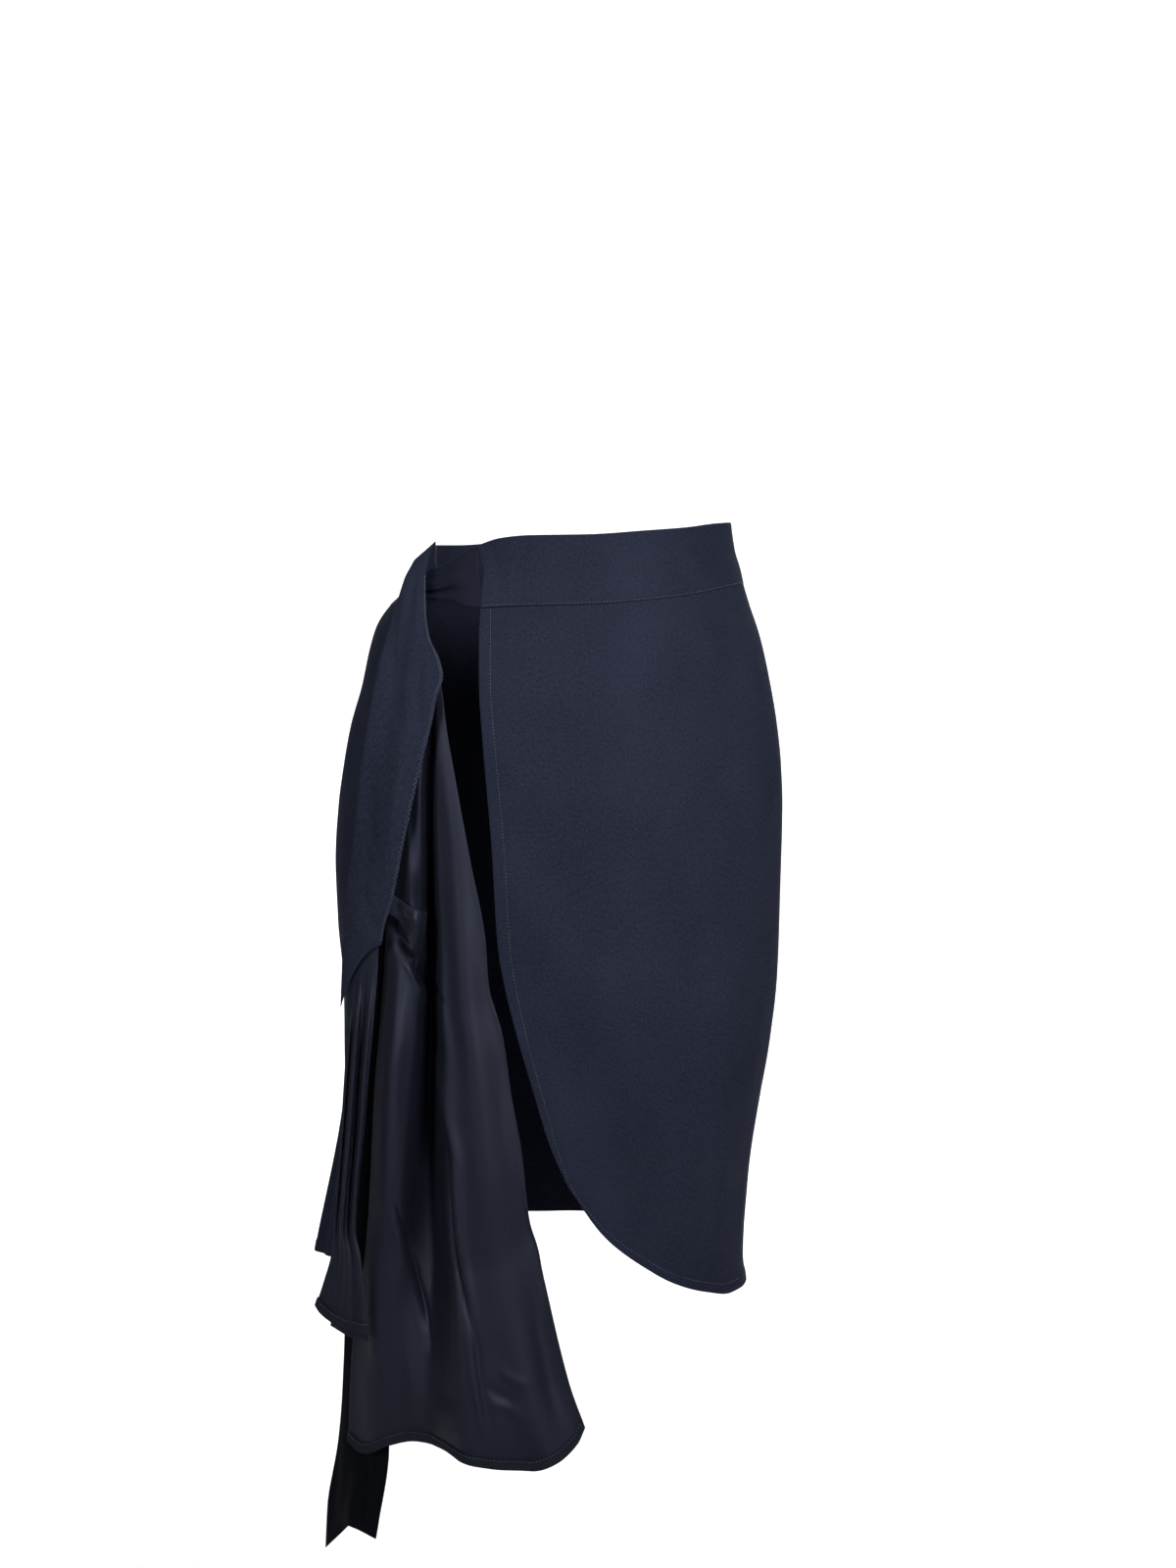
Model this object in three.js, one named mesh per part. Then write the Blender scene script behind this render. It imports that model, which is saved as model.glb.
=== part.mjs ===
// A wrap skirt as worn, in millimetres. +Z is up, the front faces -Y, the wearer's right hip is at -X.
// The origin is the middle of the waist opening, level with the waistband.
// The skirt is a curved front panel and a back panel on a tilted waistband. Satin ties close it at the
// right hip: one end loops over and hangs as a sash, with a gathered flounce at its tip, the other hangs
// behind as a long tail, and a flared satin drape falls between them.
import * as THREE from "three";

// Cloth
const clothThickness = 1.2;
const bandThickness = 2;
const hemThickness = 1;
const seamGap = 0.3;
const bandGap = 0.5;
const hemDepth = 8.5;

// Where the panels meet, as angles round the body: 0 is the wearer's left side, 90 the front
const sideSeamAngle = 14;
const backPanelEnd = -207;
const bandEnd = -205;

// Grids: columns across and rows down each piece
const grids = {
  frontPanel: [22, 24],
  backPanel: [36, 18],
  waistband: [56, 3],
  tie: [9, 6],
  sash: [8, 40],
  drape: [26, 28],
  drapeHem: [26, 1],
  drapeLoop: [6, 8],
  flounce: [20, 16],
  flounceHem: [20, 1],
  flounceUnder: [8, 6],
  tail: [6, 26],
};

// A table names its columns once, and each row is one section.
function table(columns, rows) {
  return rows.map((row) =>
    Object.fromEntries(columns.map((name, i) => [name, row[i]])),
  );
}

// The body's general form: half widths to the wearer's left (right of the picture) and right, half depths
const bodySections = table(
  ["height", "right", "left", "front", "back"],
  [
    [-800, 126, 188, 96, 94],
    [-582, 127, 188, 97, 95],
    [-561, 124.7, 188, 99, 96],
    [-498, 128.4, 189, 101, 99],
    [-434, 137.4, 190, 105, 103],
    [-390, 145, 190, 108, 107],
    [-340, 151, 190.5, 111, 113],
    [-293, 153, 194.5, 113, 121],
    [-247, 154.2, 196, 114, 127],
    [-200, 154.8, 193.5, 113, 128],
    [-169, 153.5, 189.4, 111, 126],
    [-138, 150.1, 184, 108, 120],
    [-107, 145, 176, 104, 113],
    [-77, 138.8, 169.5, 99, 104],
    [-61, 134.3, 164, 96, 98],
    [-46, 128.9, 154, 93.5, 94],
    [-28, 123.4, 134, 90, 89],
    [-16, 120.3, 124, 88, 87],
    [0, 115.6, 118, 87, 85],
    [21, 113.2, 114, 86, 82],
    [40, 113, 113, 86, 82],
  ],
);

// Below the hip the loose pieces hang clear of the legs.
const hangSections = table(
  ["height", "right", "left", "front", "back"],
  [
    [-800, 165, 222, 126, 128],
    [-560, 165, 218, 122, 128],
    [-300, 160, 196, 117, 128],
    [-200, 154.8, 193.5, 113, 128],
    [-138, 150.1, 184, 108, 120],
    [-77, 138.8, 169.5, 99, 104],
    [-46, 128.9, 151, 93.5, 94],
  ],
);

// The waistband is tilted: high at the wearer's left side, low at the tie
const bandEdges = table(
  ["angle", "top", "bottom"],
  [
    [-205, -19, -44.4],
    [-196, -8, -45],
    [-188, 1, -45],
    [-180, 3, -45],
    [-150, 3, -43],
    [-120, 6, -40],
    [-90, 9.5, -36],
    [-50, 14.5, -31],
    [-15, 19, -28],
    [10, 20.6, -27.6],
    [28, 19.7, -29.6],
    [48, 16.5, -34.6],
    [66, 14.2, -38.6],
    [89, 11.2, -41.9],
    [112, 10.5, -43.4],
    [124, 8.3, -45.1],
    [135, 2.4, -46],
  ],
);
const bandFront = { topX: -82.5, topHeight: 2.4, bottomX: -79.5, bottomHeight: -45.1 };

// The front panel's free edge, and the hem that curves on from it to the side seam
const freeEdge = table(
  ["height", "x"],
  [
    [-484.8, -12.9],
    [-453.5, -26.3],
    [-405.8, -40.4],
    [-369.6, -50.8],
    [-329.8, -60.3],
    [-299, -65.4],
    [-228, -69.7],
    [-147, -77.1],
    [-103, -80.2],
    [-74, -80.4],
    [-45.4, -79.6],
  ],
);
const frontHem = table(
  ["x", "height"],
  [
    [-12.9, -484.8],
    [10.2, -519.4],
    [23, -532.7],
    [44.1, -549.2],
    [65.4, -564.6],
    [84, -574.4],
    [102.8, -581],
    [122, -581.2],
  ],
);
const backHem = table(
  ["angle", "height"],
  [
    [-207, -556],
    [-180, -558.5],
    [-130, -551],
    [-90, -546],
    [-40, -562],
    [0, -580],
    [14, -581.2],
  ],
);

// Soft folds. A fold's crest runs from across at "from" to acrossEnd at the hem, and it swells to its
// full height between "from" and "full", as shares of the piece's length.
const foldColumns = ["from", "full", "across", "acrossEnd", "width", "height"];
const frontFolds = table(foldColumns, [
  [0.25, 0.8, 0.3, 0.26, 0.1, 2.5],
  [0.2, 0.9, 0.62, 0.66, 0.12, -2.5],
  [0.1, 0.6, 1.0, 1.0, 0.12, 2.5],
]);
const backFolds = table(foldColumns, [
  [0.7, 1.08, 0.855, 0.865, 0.07, 32],
  [0.45, 1, 0.735, 0.725, 0.05, -9],
  [0.4, 1, 0.6, 0.58, 0.06, 8],
  [0.45, 1, 0.44, 0.43, 0.07, -6],
  [0.35, 1, 0.28, 0.27, 0.07, 5],
]);

// The drape's outline where it hangs, and its folds
const drapeTop = { height: -66, leftX: -141, rightX: -125 };
const drapeLeft = table(
  ["height", "x"],
  [
    [-690, -184],
    [-633, -181.5],
    [-604, -179],
    [-542, -169],
    [-478, -164],
    [-413, -161],
    [-343, -155],
    [-286, -152],
    [-205, -151.5],
    [-132, -150],
    [-95, -147],
    [-66, -141],
  ],
);
const drapeRight = table(
  ["height", "x"],
  [
    [-664.5, 0],
    [-634, -11],
    [-604, -19],
    [-574, -26],
    [-544, -33],
    [-530, -35.5],
    [-507, -42],
    [-456, -47.5],
    [-411, -55.5],
    [-366, -62],
    [-327, -72.5],
    [-293, -75],
    [-235, -86],
    [-176, -97],
    [-132, -105],
    [-103, -108.5],
    [-84, -115],
    [-66, -125],
  ],
);
const drapeHemLine = table(
  ["x", "height"],
  [
    [-184, -690],
    [-173, -696],
    [-150, -685],
    [-128, -678.5],
    [-108, -680],
    [-92, -687],
    [-60, -693],
    [-40, -694],
    [-22, -688.5],
    [-6, -676.5],
    [0, -664.5],
  ],
);
const drapeFolds = table(foldColumns, [
  [0.38, 0.52, 0.14, 0.1, 0.11, 11],
  [0.6, 0.88, 0.12, 0.1, 0.13, -7],
  [0.22, 0.5, 0.36, 0.34, 0.09, -7],
  [0.2, 0.6, 0.78, 0.56, 0.17, 7],
  [0.3, 0.8, 1.0, 0.99, 0.09, -9],
  [0.7, 1, 0.06, 0.03, 0.09, -5],
  [0.72, 1, 0.8, 0.86, 0.08, 6],
]);

// The turned-out loop beside the sash, in rows from its upper edge to where it sinks into the drape.
// Its left edge lies against the back of the sash.
const loopRows = table(
  ["down", "leftX", "left", "rightX", "right", "rightOut", "swell"],
  [
    [0, -151, -257, -120, -272.6, 11, 4],
    [0.3, -151, -268, -120.5, -283, 12, 5],
    [0.65, -150, -278, -122.5, -298, 11, 4],
    [1, -151, -288, -125, -313, 7, 2],
  ],
);

// The flounce gathered into the sash's tip
const flounceTop = table(
  ["across", "x", "height"],
  [
    [0, -182, -336],
    [0.35, -173, -312],
    [0.7, -165, -304],
    [1, -156.5, -296],
  ],
);
const flounceLeft = table(
  ["height", "x"],
  [
    [-582, -208],
    [-561, -201],
    [-539, -195],
    [-515, -193],
    [-480, -190],
    [-419, -185.5],
    [-367, -182.5],
    [-336, -182],
  ],
);
const flounceRight = table(
  ["height", "x"],
  [
    [-597, -164],
    [-567, -168],
    [-540, -171],
    [-518, -175],
    [-492, -173.5],
    [-439, -168],
    [-402, -165],
    [-371, -162],
    [-325, -158],
    [-296, -156.5],
  ],
);
const flounceHemLine = table(
  ["x", "height"],
  [
    [-208, -582],
    [-204, -587],
    [-194, -591.5],
    [-180, -596],
    [-164, -597],
  ],
);
const flounceFolds = table(foldColumns, [
  [0.05, 0.3, 0.2, 0.1, 0.08, -4],
  [0.02, 0.2, 0.4, 0.36, 0.1, 4],
  [0.08, 0.35, 0.62, 0.7, 0.09, -5],
  [0.02, 0.25, 0.82, 0.9, 0.09, 4],
]);

// Straps: a row is one line across, from its left to its right edge, with how far its middle stands out
const strapColumns = [
  "along", "leftX", "leftY", "leftZ", "rightX", "rightY", "rightZ", "crown", "bow",
];
const sashLines = table(strapColumns, [
  [0, -134, -39, -34, -119, -42.5, -37, 0, 0],
  [1, -132.5, -39, -22, -117, -42.5, -18, 0, 0],
  [2, -130.5, -40, -13, -115.8, -43, -5, 0.5, 0],
  [3, -131.5, -44, -9.5, -115, -46, 5.5, 1, 0],
  [4, -134.6, -48, -15, -117.8, -51, 1, 1.5, 0],
  [5, -138, -52, -21.5, -120.5, -56.5, -12, 2, 0],
  [6, -140.5, -56, -29, -122.3, -61, -24, 2.5, 0],
  [7, -143.5, -60, -39, -122, -66, -35, 3, 0],
  [8, -146.8, -65, -50, -121.3, -73, -48, 3.5, 0],
  [9, -150, -70, -67, -118.3, -82, -66, 4, 0],
  [10, -154, -75, -85, -109.8, -96, -84, 5, 0],
  [11, -156, -78, -98, -107, -103, -96, 5, 0],
  [12, -158.5, -80.5, -110, -111, -107, -109, 5, 0],
  [13, -162, -83, -131, -115.5, -109, -131, 5, 0],
  [14, -166, -85, -157, -122, -111, -157, 5, 0],
  [15, -172, -84.5, -195, -131, -111, -195, 5, 0],
  [16, -178, -82, -232, -139, -109, -232, 4, 0],
  [17, -183, -79.5, -265, -145, -107, -262, 4, 0],
  [18, -185.5, -79, -302, -152, -104, -285, 4, 3],
  [19, -187.5, -80, -350, -154.5, -103, -299, 3, 9],
]);
const tailLines = table(strapColumns, [
  [0, -125.3, -43.5, -18, -125.1, -47, -38, 0, 0],
  [1, -131, -45, -22, -126.5, -50, -41, 0, 0],
  [2, -138, -49, -36, -126, -55, -52, 1, 0],
  [3, -144, -54, -56, -125, -63, -66, 1, 0],
  [4, -149, -59, -82, -124, -74, -86, 1, 0],
  [5, -154, -63, -120, -127, -83, -122, 1, 0],
  [6, -166, -62, -165, -133, -85, -165, 2, 0],
  [7, -176, -55, -210, -140, -84, -210, 3, 0],
  [8, -182, -54, -300, -146, -87, -300, 3, 0],
  [9, -185, -60, -450, -149, -91, -450, 3, 0],
  [10, -187, -68, -610, -151, -94, -610, 2, 0],
  [11, -193, -65, -687, -151, -94.5, -687, 2, 0],
  [12, -202, -58, -746, -159, -91, -746, 2, 0],
  [13, -204, -54, -782, -162, -90, -765, 2, 0],
]);
const tailNotch = { across: 0.53, rise: 16, from: 11 };

// The tie that runs from the front end of the waistband into the sash's loop
const tieLines = table(
  ["across", "topX", "topY", "top", "bottomX", "bottomY", "bottom", "swell"],
  [
    [0, -83.3, -62.2, 2.4, -79.9, -78.2, -44.8, 0],
    [0.2, -94, -58, -3, -90, -75, -43.9, 1.5],
    [0.45, -104, -52.5, -9.5, -102, -65, -39.8, 3],
    [0.72, -114, -47.5, -14.5, -112.3, -56, -39.2, 3],
    [1, -124.4, -43.8, -17.5, -124, -47.5, -38.5, 0],
  ],
);
const tieCreases = table(foldColumns, [
  [0.1, 0.4, 0.35, 0.5, 0.16, 2.2],
  [0.1, 0.5, 0.7, 0.8, 0.12, -2.4],
]);

const layers = {
  drape: 12,
  seat: 2.1,
  flounce: 27,
  underTop: 20.2,
  underFoot: 18,
};

const navyCrepe = new THREE.MeshStandardMaterial({ color: 0x20232e, roughness: 0.82, metalness: 0 });
const navySatin = new THREE.MeshStandardMaterial({ color: 0x191b25, roughness: 0.45, metalness: 0 });

const radians = THREE.MathUtils.degToRad;
const lerp = THREE.MathUtils.lerp;
const smoothstep = THREE.MathUtils.smoothstep;
const clamp = THREE.MathUtils.clamp;

// The slope of a table's curve at a row, zero where the curve turns, so that it never overshoots
function slopeAt(rows, key, column, i) {
  const rise = (a, b) => (rows[b][column] - rows[a][column]) / (rows[b][key] - rows[a][key]);
  if (i === 0) return rise(0, 1);
  if (i === rows.length - 1) return rise(i - 1, i);
  const before = rise(i - 1, i);
  const after = rise(i, i + 1);
  return before * after > 0 ? (2 * before * after) / (before + after) : 0;
}

// Reads a smooth curve through a table's rows, whose key column ascends.
function read(rows, key, column, at) {
  const last = rows.length - 2;
  let i = rows.findIndex((row, k) => k > last || rows[k + 1][key] >= at);
  i = clamp(i, 0, last);
  const span = rows[i + 1][key] - rows[i][key];
  const t = clamp((at - rows[i][key]) / span, 0, 1);
  const start = rows[i][column];
  const end = rows[i + 1][column];
  const leave = slopeAt(rows, key, column, i) * span;
  const arrive = slopeAt(rows, key, column, i + 1) * span;
  const s = t * t * (3 - 2 * t);
  return start + (end - start) * s + leave * t * (1 - t) ** 2 - arrive * t * t * (1 - t);
}

// The point at an angle and height on a form, moved out from it
function onForm(sections, angle, height, out = 0) {
  const c = Math.cos(radians(angle));
  const s = Math.sin(radians(angle));
  const wide = read(sections, "height", c > 0 ? "right" : "left", height) + out;
  const deep = read(sections, "height", s > 0 ? "front" : "back", height) + out;
  return new THREE.Vector3(wide * c, -deep * s, height);
}

// The angle on the front of the body where x is reached
function angleAt(x, height) {
  const wide = read(bodySections, "height", x > 0 ? "right" : "left", height);
  return THREE.MathUtils.radToDeg(Math.acos(clamp(x / wide, -1, 1)));
}

// The point at x and height on the front of the hanging form, moved out from it
function onHang(x, height, out) {
  const wide = read(hangSections, "height", x > 0 ? "right" : "left", height) + out;
  const deep = read(hangSections, "height", "front", height) + out;
  const y = -deep * Math.sqrt(Math.max(0, 1 - (x / wide) ** 2));
  return new THREE.Vector3(x, y, height);
}

// A patch between four edges, each a function of 0..1 that gives [across, height]
function patch(top, bottom, left, right) {
  const corners = [top(0), top(1), bottom(0), bottom(1)];
  return (u, v) =>
    [0, 1].map((k) => {
      const down = (1 - v) * top(u)[k] + v * bottom(u)[k];
      const over = (1 - u) * left(v)[k] + u * right(v)[k];
      const upper = (1 - u) * corners[0][k] + u * corners[1][k];
      const lower = (1 - u) * corners[2][k] + u * corners[3][k];
      return down + over - ((1 - v) * upper + v * lower);
    });
}

// How far the folds stand out at a place on the piece
function foldOut(folds, u, v) {
  return folds.reduce((sum, fold) => {
    const crest = lerp(fold.across, fold.acrossEnd, clamp((v - fold.from) / (1 - fold.from), 0, 1));
    const swell = smoothstep(v, fold.from, fold.full);
    return sum + fold.height * swell * Math.exp(-(((u - crest) / fold.width) ** 2));
  }, 0);
}

// The surface's normal at u, v, pointing away from the body
function normalAt(surface, u, v) {
  const step = 0.004;
  const across = surface(Math.min(u + step, 1), v).sub(surface(Math.max(u - step, 0), v));
  const down = surface(u, Math.min(v + step, 1)).sub(surface(u, Math.max(v - step, 0)));
  return down.cross(across).normalize();
}

// A surface moved out from another one
function movedOut(surface, distance) {
  return (u, v) => surface(u, v).addScaledVector(normalAt(surface, u, v), distance);
}

// Part of a surface, between two shares of its width and two of its length
function partOf(surface, uFrom, uTo, vFrom, vTo) {
  return (u, v) => surface(lerp(uFrom, uTo, u), lerp(vFrom, vTo, v));
}

// A closed wall of cloth round a surface, with the seams left as its four edges
function clothWall(surface, [columns, rows], thickness = clothThickness) {
  const points = [];
  for (const side of [0.5, -0.5]) {
    for (let j = 0; j <= rows; j += 1) {
      for (let i = 0; i <= columns; i += 1) {
        const u = i / columns;
        const v = j / rows;
        const point = surface(u, v).addScaledVector(normalAt(surface, u, v), side * thickness);
        points.push(point.x, point.y, point.z);
      }
    }
  }
  const layer = (columns + 1) * (rows + 1);
  const at = (i, j, inner) => j * (columns + 1) + i + (inner ? layer : 0);
  const faces = [];
  const quad = (a, b, c, d) => faces.push(a, b, c, a, c, d);
  for (let j = 0; j < rows; j += 1) {
    for (let i = 0; i < columns; i += 1) {
      quad(at(i, j), at(i, j + 1), at(i + 1, j + 1), at(i + 1, j));
      quad(at(i, j, true), at(i + 1, j, true), at(i + 1, j + 1, true), at(i, j + 1, true));
    }
  }
  for (let i = 0; i < columns; i += 1) {
    quad(at(i, 0), at(i + 1, 0), at(i + 1, 0, true), at(i, 0, true));
    quad(at(i, rows), at(i, rows, true), at(i + 1, rows, true), at(i + 1, rows));
  }
  for (let j = 0; j < rows; j += 1) {
    quad(at(0, j), at(0, j, true), at(0, j + 1, true), at(0, j + 1));
    quad(at(columns, j), at(columns, j + 1), at(columns, j + 1, true), at(columns, j, true));
  }
  const geometry = new THREE.BufferGeometry();
  geometry.setAttribute("position", new THREE.Float32BufferAttribute(points, 3));
  geometry.setIndex(faces);
  geometry.computeVertexNormals();
  return geometry;
}

const bandBottom = (angle) => read(bandEdges, "angle", "bottom", angle);
const bandTop = (angle) => read(bandEdges, "angle", "top", angle);

function waistband(u, v) {
  const topAngle = angleAt(bandFront.topX, bandFront.topHeight);
  const bottomAngle = angleAt(bandFront.bottomX, bandFront.bottomHeight);
  const angle = lerp(lerp(topAngle, bottomAngle, v), bandEnd, 1 - u);
  return onForm(bodySections, angle, lerp(bandTop(angle), bandBottom(angle), v));
}

// The front panel runs from the free edge, on the left of the picture, to the side seam.
function frontPanel(u, v) {
  const topAngle = angleAt(bandFront.bottomX, bandFront.bottomHeight);
  const seamTop = bandBottom(sideSeamAngle) - bandGap;
  const seamFoot = frontHem.at(-1).height;
  const edgeTop = freeEdge.at(-1).height;
  const edgeFoot = freeEdge[0].height;
  const top = (t) => {
    const angle = lerp(topAngle, sideSeamAngle, t);
    return [angle, bandBottom(angle) - bandGap];
  };
  const bottom = (t) => {
    const x = lerp(frontHem[0].x, frontHem.at(-1).x, t);
    const height = read(frontHem, "x", "height", x);
    return [lerp(angleAt(x, height), sideSeamAngle, t ** 6), height];
  };
  const left = (t) => {
    const height = lerp(edgeTop, edgeFoot, t);
    return [angleAt(read(freeEdge, "height", "x", height), height), height];
  };
  const right = (t) => [sideSeamAngle, lerp(seamTop, seamFoot, t)];
  const [angle, height] = patch(top, bottom, left, right)(u, v);
  return onForm(bodySections, angle, height, foldOut(frontFolds, 1 - u, v));
}

// The back panel runs from the side seam round the back to its own free edge under the sash.
function backPanel(u, v) {
  const seamAngle = sideSeamAngle - THREE.MathUtils.radToDeg(seamGap / bodySections[1].right) * 2;
  const angle = lerp(backPanelEnd, seamAngle, u);
  const height = lerp(bandBottom(angle) - bandGap, read(backHem, "angle", "height", angle), v);
  return onForm(bodySections, angle, height, foldOut(backFolds, 1 - u, v));
}

// A strap is the set of its lines, each bowed out in the middle.
function strap(lines, u, along) {
  const left = ["leftX", "leftY", "leftZ"].map((name) => read(lines, "along", name, along));
  const right = ["rightX", "rightY", "rightZ"].map((name) => read(lines, "along", name, along));
  const middle = 4 * u * (1 - u);
  const point = new THREE.Vector3(...left).lerp(new THREE.Vector3(...right), u);
  const outward = new THREE.Vector3(left[1] - right[1], right[0] - left[0], 0).normalize();
  point.addScaledVector(outward, -middle * read(lines, "along", "crown", along));
  point.z += middle * read(lines, "along", "bow", along);
  return point;
}

const sash = (u, v) => strap(sashLines, u, v * sashLines.at(-1).along);

function tail(u, v) {
  const along = v * tailLines.at(-1).along;
  const point = strap(tailLines, u, along);
  const notch = 1 - Math.abs(u - tailNotch.across) / tailNotch.across;
  const share = clamp((along - tailNotch.from) / (tailLines.at(-1).along - tailNotch.from), 0, 1);
  point.z += tailNotch.rise * Math.max(0, notch) * share ** 2;
  return point;
}

// Where the sash's front layer lies at x and height
function sashDepth(x, height) {
  let [high, low] = [4, sashLines.at(-1).along];
  for (let step = 0; step < 30; step += 1) {
    const middle = (high + low) / 2;
    const left = read(sashLines, "along", "leftZ", middle);
    const right = read(sashLines, "along", "rightZ", middle);
    const across = acrossSash(x, middle);
    if (lerp(left, right, across) > height) high = middle;
    else low = middle;
  }
  return strap(sashLines, acrossSash(x, high), high).y;
}

function acrossSash(x, along) {
  const left = read(sashLines, "along", "leftX", along);
  const right = read(sashLines, "along", "rightX", along);
  return clamp((x - left) / (right - left), 0, 1);
}

// A hanging piece sewn behind the sash starts from the sash's own depth and falls to its own layer.
function hangFromSash(x, height, out, seated) {
  const point = onHang(x, height, out);
  if (seated > 0) point.y = lerp(point.y, sashDepth(x, height) + layers.seat, seated);
  return point;
}

function hangingPatch(topEdge, bottomRows, leftRows, rightRows) {
  const topLeft = topEdge(0);
  const topRight = topEdge(1);
  const foot = (rows) => rows[0].height;
  const side = (rows, start) => (t) => {
    const height = lerp(start[1], foot(rows), t);
    return [read(rows, "height", "x", height), height];
  };
  const bottom = (t) => {
    const x = lerp(bottomRows[0].x, bottomRows.at(-1).x, t);
    return [x, read(bottomRows, "x", "height", x)];
  };
  return patch(topEdge, bottom, side(leftRows, topLeft), side(rightRows, topRight));
}

const drapeOutline = hangingPatch(
  (t) => [lerp(drapeTop.leftX, drapeTop.rightX, t), drapeTop.height],
  drapeHemLine,
  drapeLeft,
  drapeRight,
);

function drape(u, v) {
  const [x, height] = drapeOutline(u, v);
  const seated = 1 - smoothstep(v, 0.01, 0.12);
  return hangFromSash(x, height, layers.drape + foldOut(drapeFolds, u, v), seated);
}

const flounceOutline = hangingPatch(
  (t) => [read(flounceTop, "across", "x", t), read(flounceTop, "across", "height", t)],
  flounceHemLine,
  flounceLeft,
  flounceRight,
);

function flounce(u, v) {
  const [x, height] = flounceOutline(u, v);
  const seated = 1 - smoothstep(v, 0.01, 0.15);
  return hangFromSash(x, height, layers.flounce + foldOut(flounceFolds, u, v), seated);
}

// The layer folded back under the flounce, which shows below its hem
function flounceUnder(u, v) {
  const [x, height] = flounceOutline(lerp(0.25, 0.95, u), lerp(0.5, 1, v));
  const out = lerp(layers.underTop, layers.underFoot, smoothstep(v, 0, 0.35));
  return onHang(x, height - 8 * smoothstep(v, 0, 1), out);
}

// The tie's lines run down it, so u goes along the tie and v across its folds.
function tie(u, v) {
  const across = 1 - u;
  const value = (name) => read(tieLines, "across", name, across);
  const top = new THREE.Vector3(value("topX"), value("topY"), value("top"));
  const bottom = new THREE.Vector3(value("bottomX"), value("bottomY"), value("bottom"));
  const point = top.lerp(bottom, v);
  point.y -= value("swell") * 4 * v * (1 - v) * 0.5 + foldOut(tieCreases, v, across);
  return point;
}

// The small loop of the drape that is turned out beside the sash, curled away at its free edge
function drapeLoop(u, v) {
  const row = (name) => read(loopRows, "down", name, v);
  const x = lerp(row("leftX"), row("rightX"), u);
  const height = lerp(row("left"), row("right"), u);
  const point = onHang(x, height, layers.drape + row("rightOut"));
  const free = onHang(row("rightX"), row("right"), layers.drape + row("rightOut")).y;
  const clear = smoothstep(u, 0.24, 0.9);
  point.y = lerp(sashDepth(x, height) + layers.seat, free, clear);
  point.y -= row("swell") * 4 * clear * (1 - clear);
  return point;
}

function hemOf(surface, length) {
  const lift = clothThickness / 2 + seamGap + hemThickness / 2 + 0.2;
  return movedOut(partOf(surface, 0, 1, 1 - hemDepth / length, 1), lift);
}

const pieces = [
  { name: "front_panel", surface: frontPanel, grid: grids.frontPanel, material: navyCrepe },
  { name: "back_panel", surface: backPanel, grid: grids.backPanel, material: navyCrepe },
  {
    name: "waistband",
    surface: waistband,
    grid: grids.waistband,
    thickness: bandThickness,
    material: navyCrepe,
  },
  { name: "tie", surface: tie, grid: grids.tie, thickness: bandThickness, material: navySatin },
  { name: "sash", surface: sash, grid: grids.sash, material: navyCrepe },
  { name: "drape", surface: drape, grid: grids.drape, material: navySatin },
  {
    name: "drape_hem",
    surface: hemOf(drape, 630),
    grid: grids.drapeHem,
    thickness: hemThickness,
    material: navyCrepe,
  },
  { name: "drape_loop", surface: drapeLoop, grid: grids.drapeLoop, material: navySatin },
  { name: "flounce", surface: flounce, grid: grids.flounce, material: navySatin },
  {
    name: "flounce_hem",
    surface: hemOf(flounce, 280),
    grid: grids.flounceHem,
    thickness: hemThickness,
    material: navyCrepe,
  },
  { name: "flounce_under", surface: flounceUnder, grid: grids.flounceUnder, material: navySatin },
  { name: "tail", surface: tail, grid: grids.tail, material: navySatin },
];

const skirt = new THREE.Group();
for (const { name, surface, grid, thickness, material } of pieces) {
  const mesh = new THREE.Mesh(clothWall(surface, grid, thickness), material);
  mesh.name = name;
  skirt.add(mesh);
}

export default skirt;
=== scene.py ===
# Dark crepe wrap skirt, tied at the wearer's right hip, with its satin drape, gathered sash end and tail.
# Every surface is worked out in millimetres from the same tables as the solids, then laid out finer.
import math
import bpy
import numpy as np
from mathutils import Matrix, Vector


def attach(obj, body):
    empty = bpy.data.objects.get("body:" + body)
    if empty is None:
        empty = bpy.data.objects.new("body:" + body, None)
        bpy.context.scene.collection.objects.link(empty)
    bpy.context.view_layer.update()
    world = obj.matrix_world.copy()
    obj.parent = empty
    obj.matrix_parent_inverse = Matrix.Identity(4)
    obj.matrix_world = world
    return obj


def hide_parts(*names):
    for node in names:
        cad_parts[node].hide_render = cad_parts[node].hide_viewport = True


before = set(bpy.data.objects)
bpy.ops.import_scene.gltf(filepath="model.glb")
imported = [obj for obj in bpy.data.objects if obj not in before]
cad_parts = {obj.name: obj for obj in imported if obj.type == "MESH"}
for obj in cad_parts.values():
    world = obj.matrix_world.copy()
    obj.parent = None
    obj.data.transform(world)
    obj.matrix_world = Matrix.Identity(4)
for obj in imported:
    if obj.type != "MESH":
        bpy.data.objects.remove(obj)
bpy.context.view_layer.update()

mm = 0.001
clothThickness = 1.2
hemThickness = 0.8
print("frame loaded:", len(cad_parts), "nodes")


# Tables and the curves through them
def table(columns, rows):
    values = np.array(rows, float)
    return {name: values[:, i] for i, name in enumerate(columns.split())}


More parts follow.
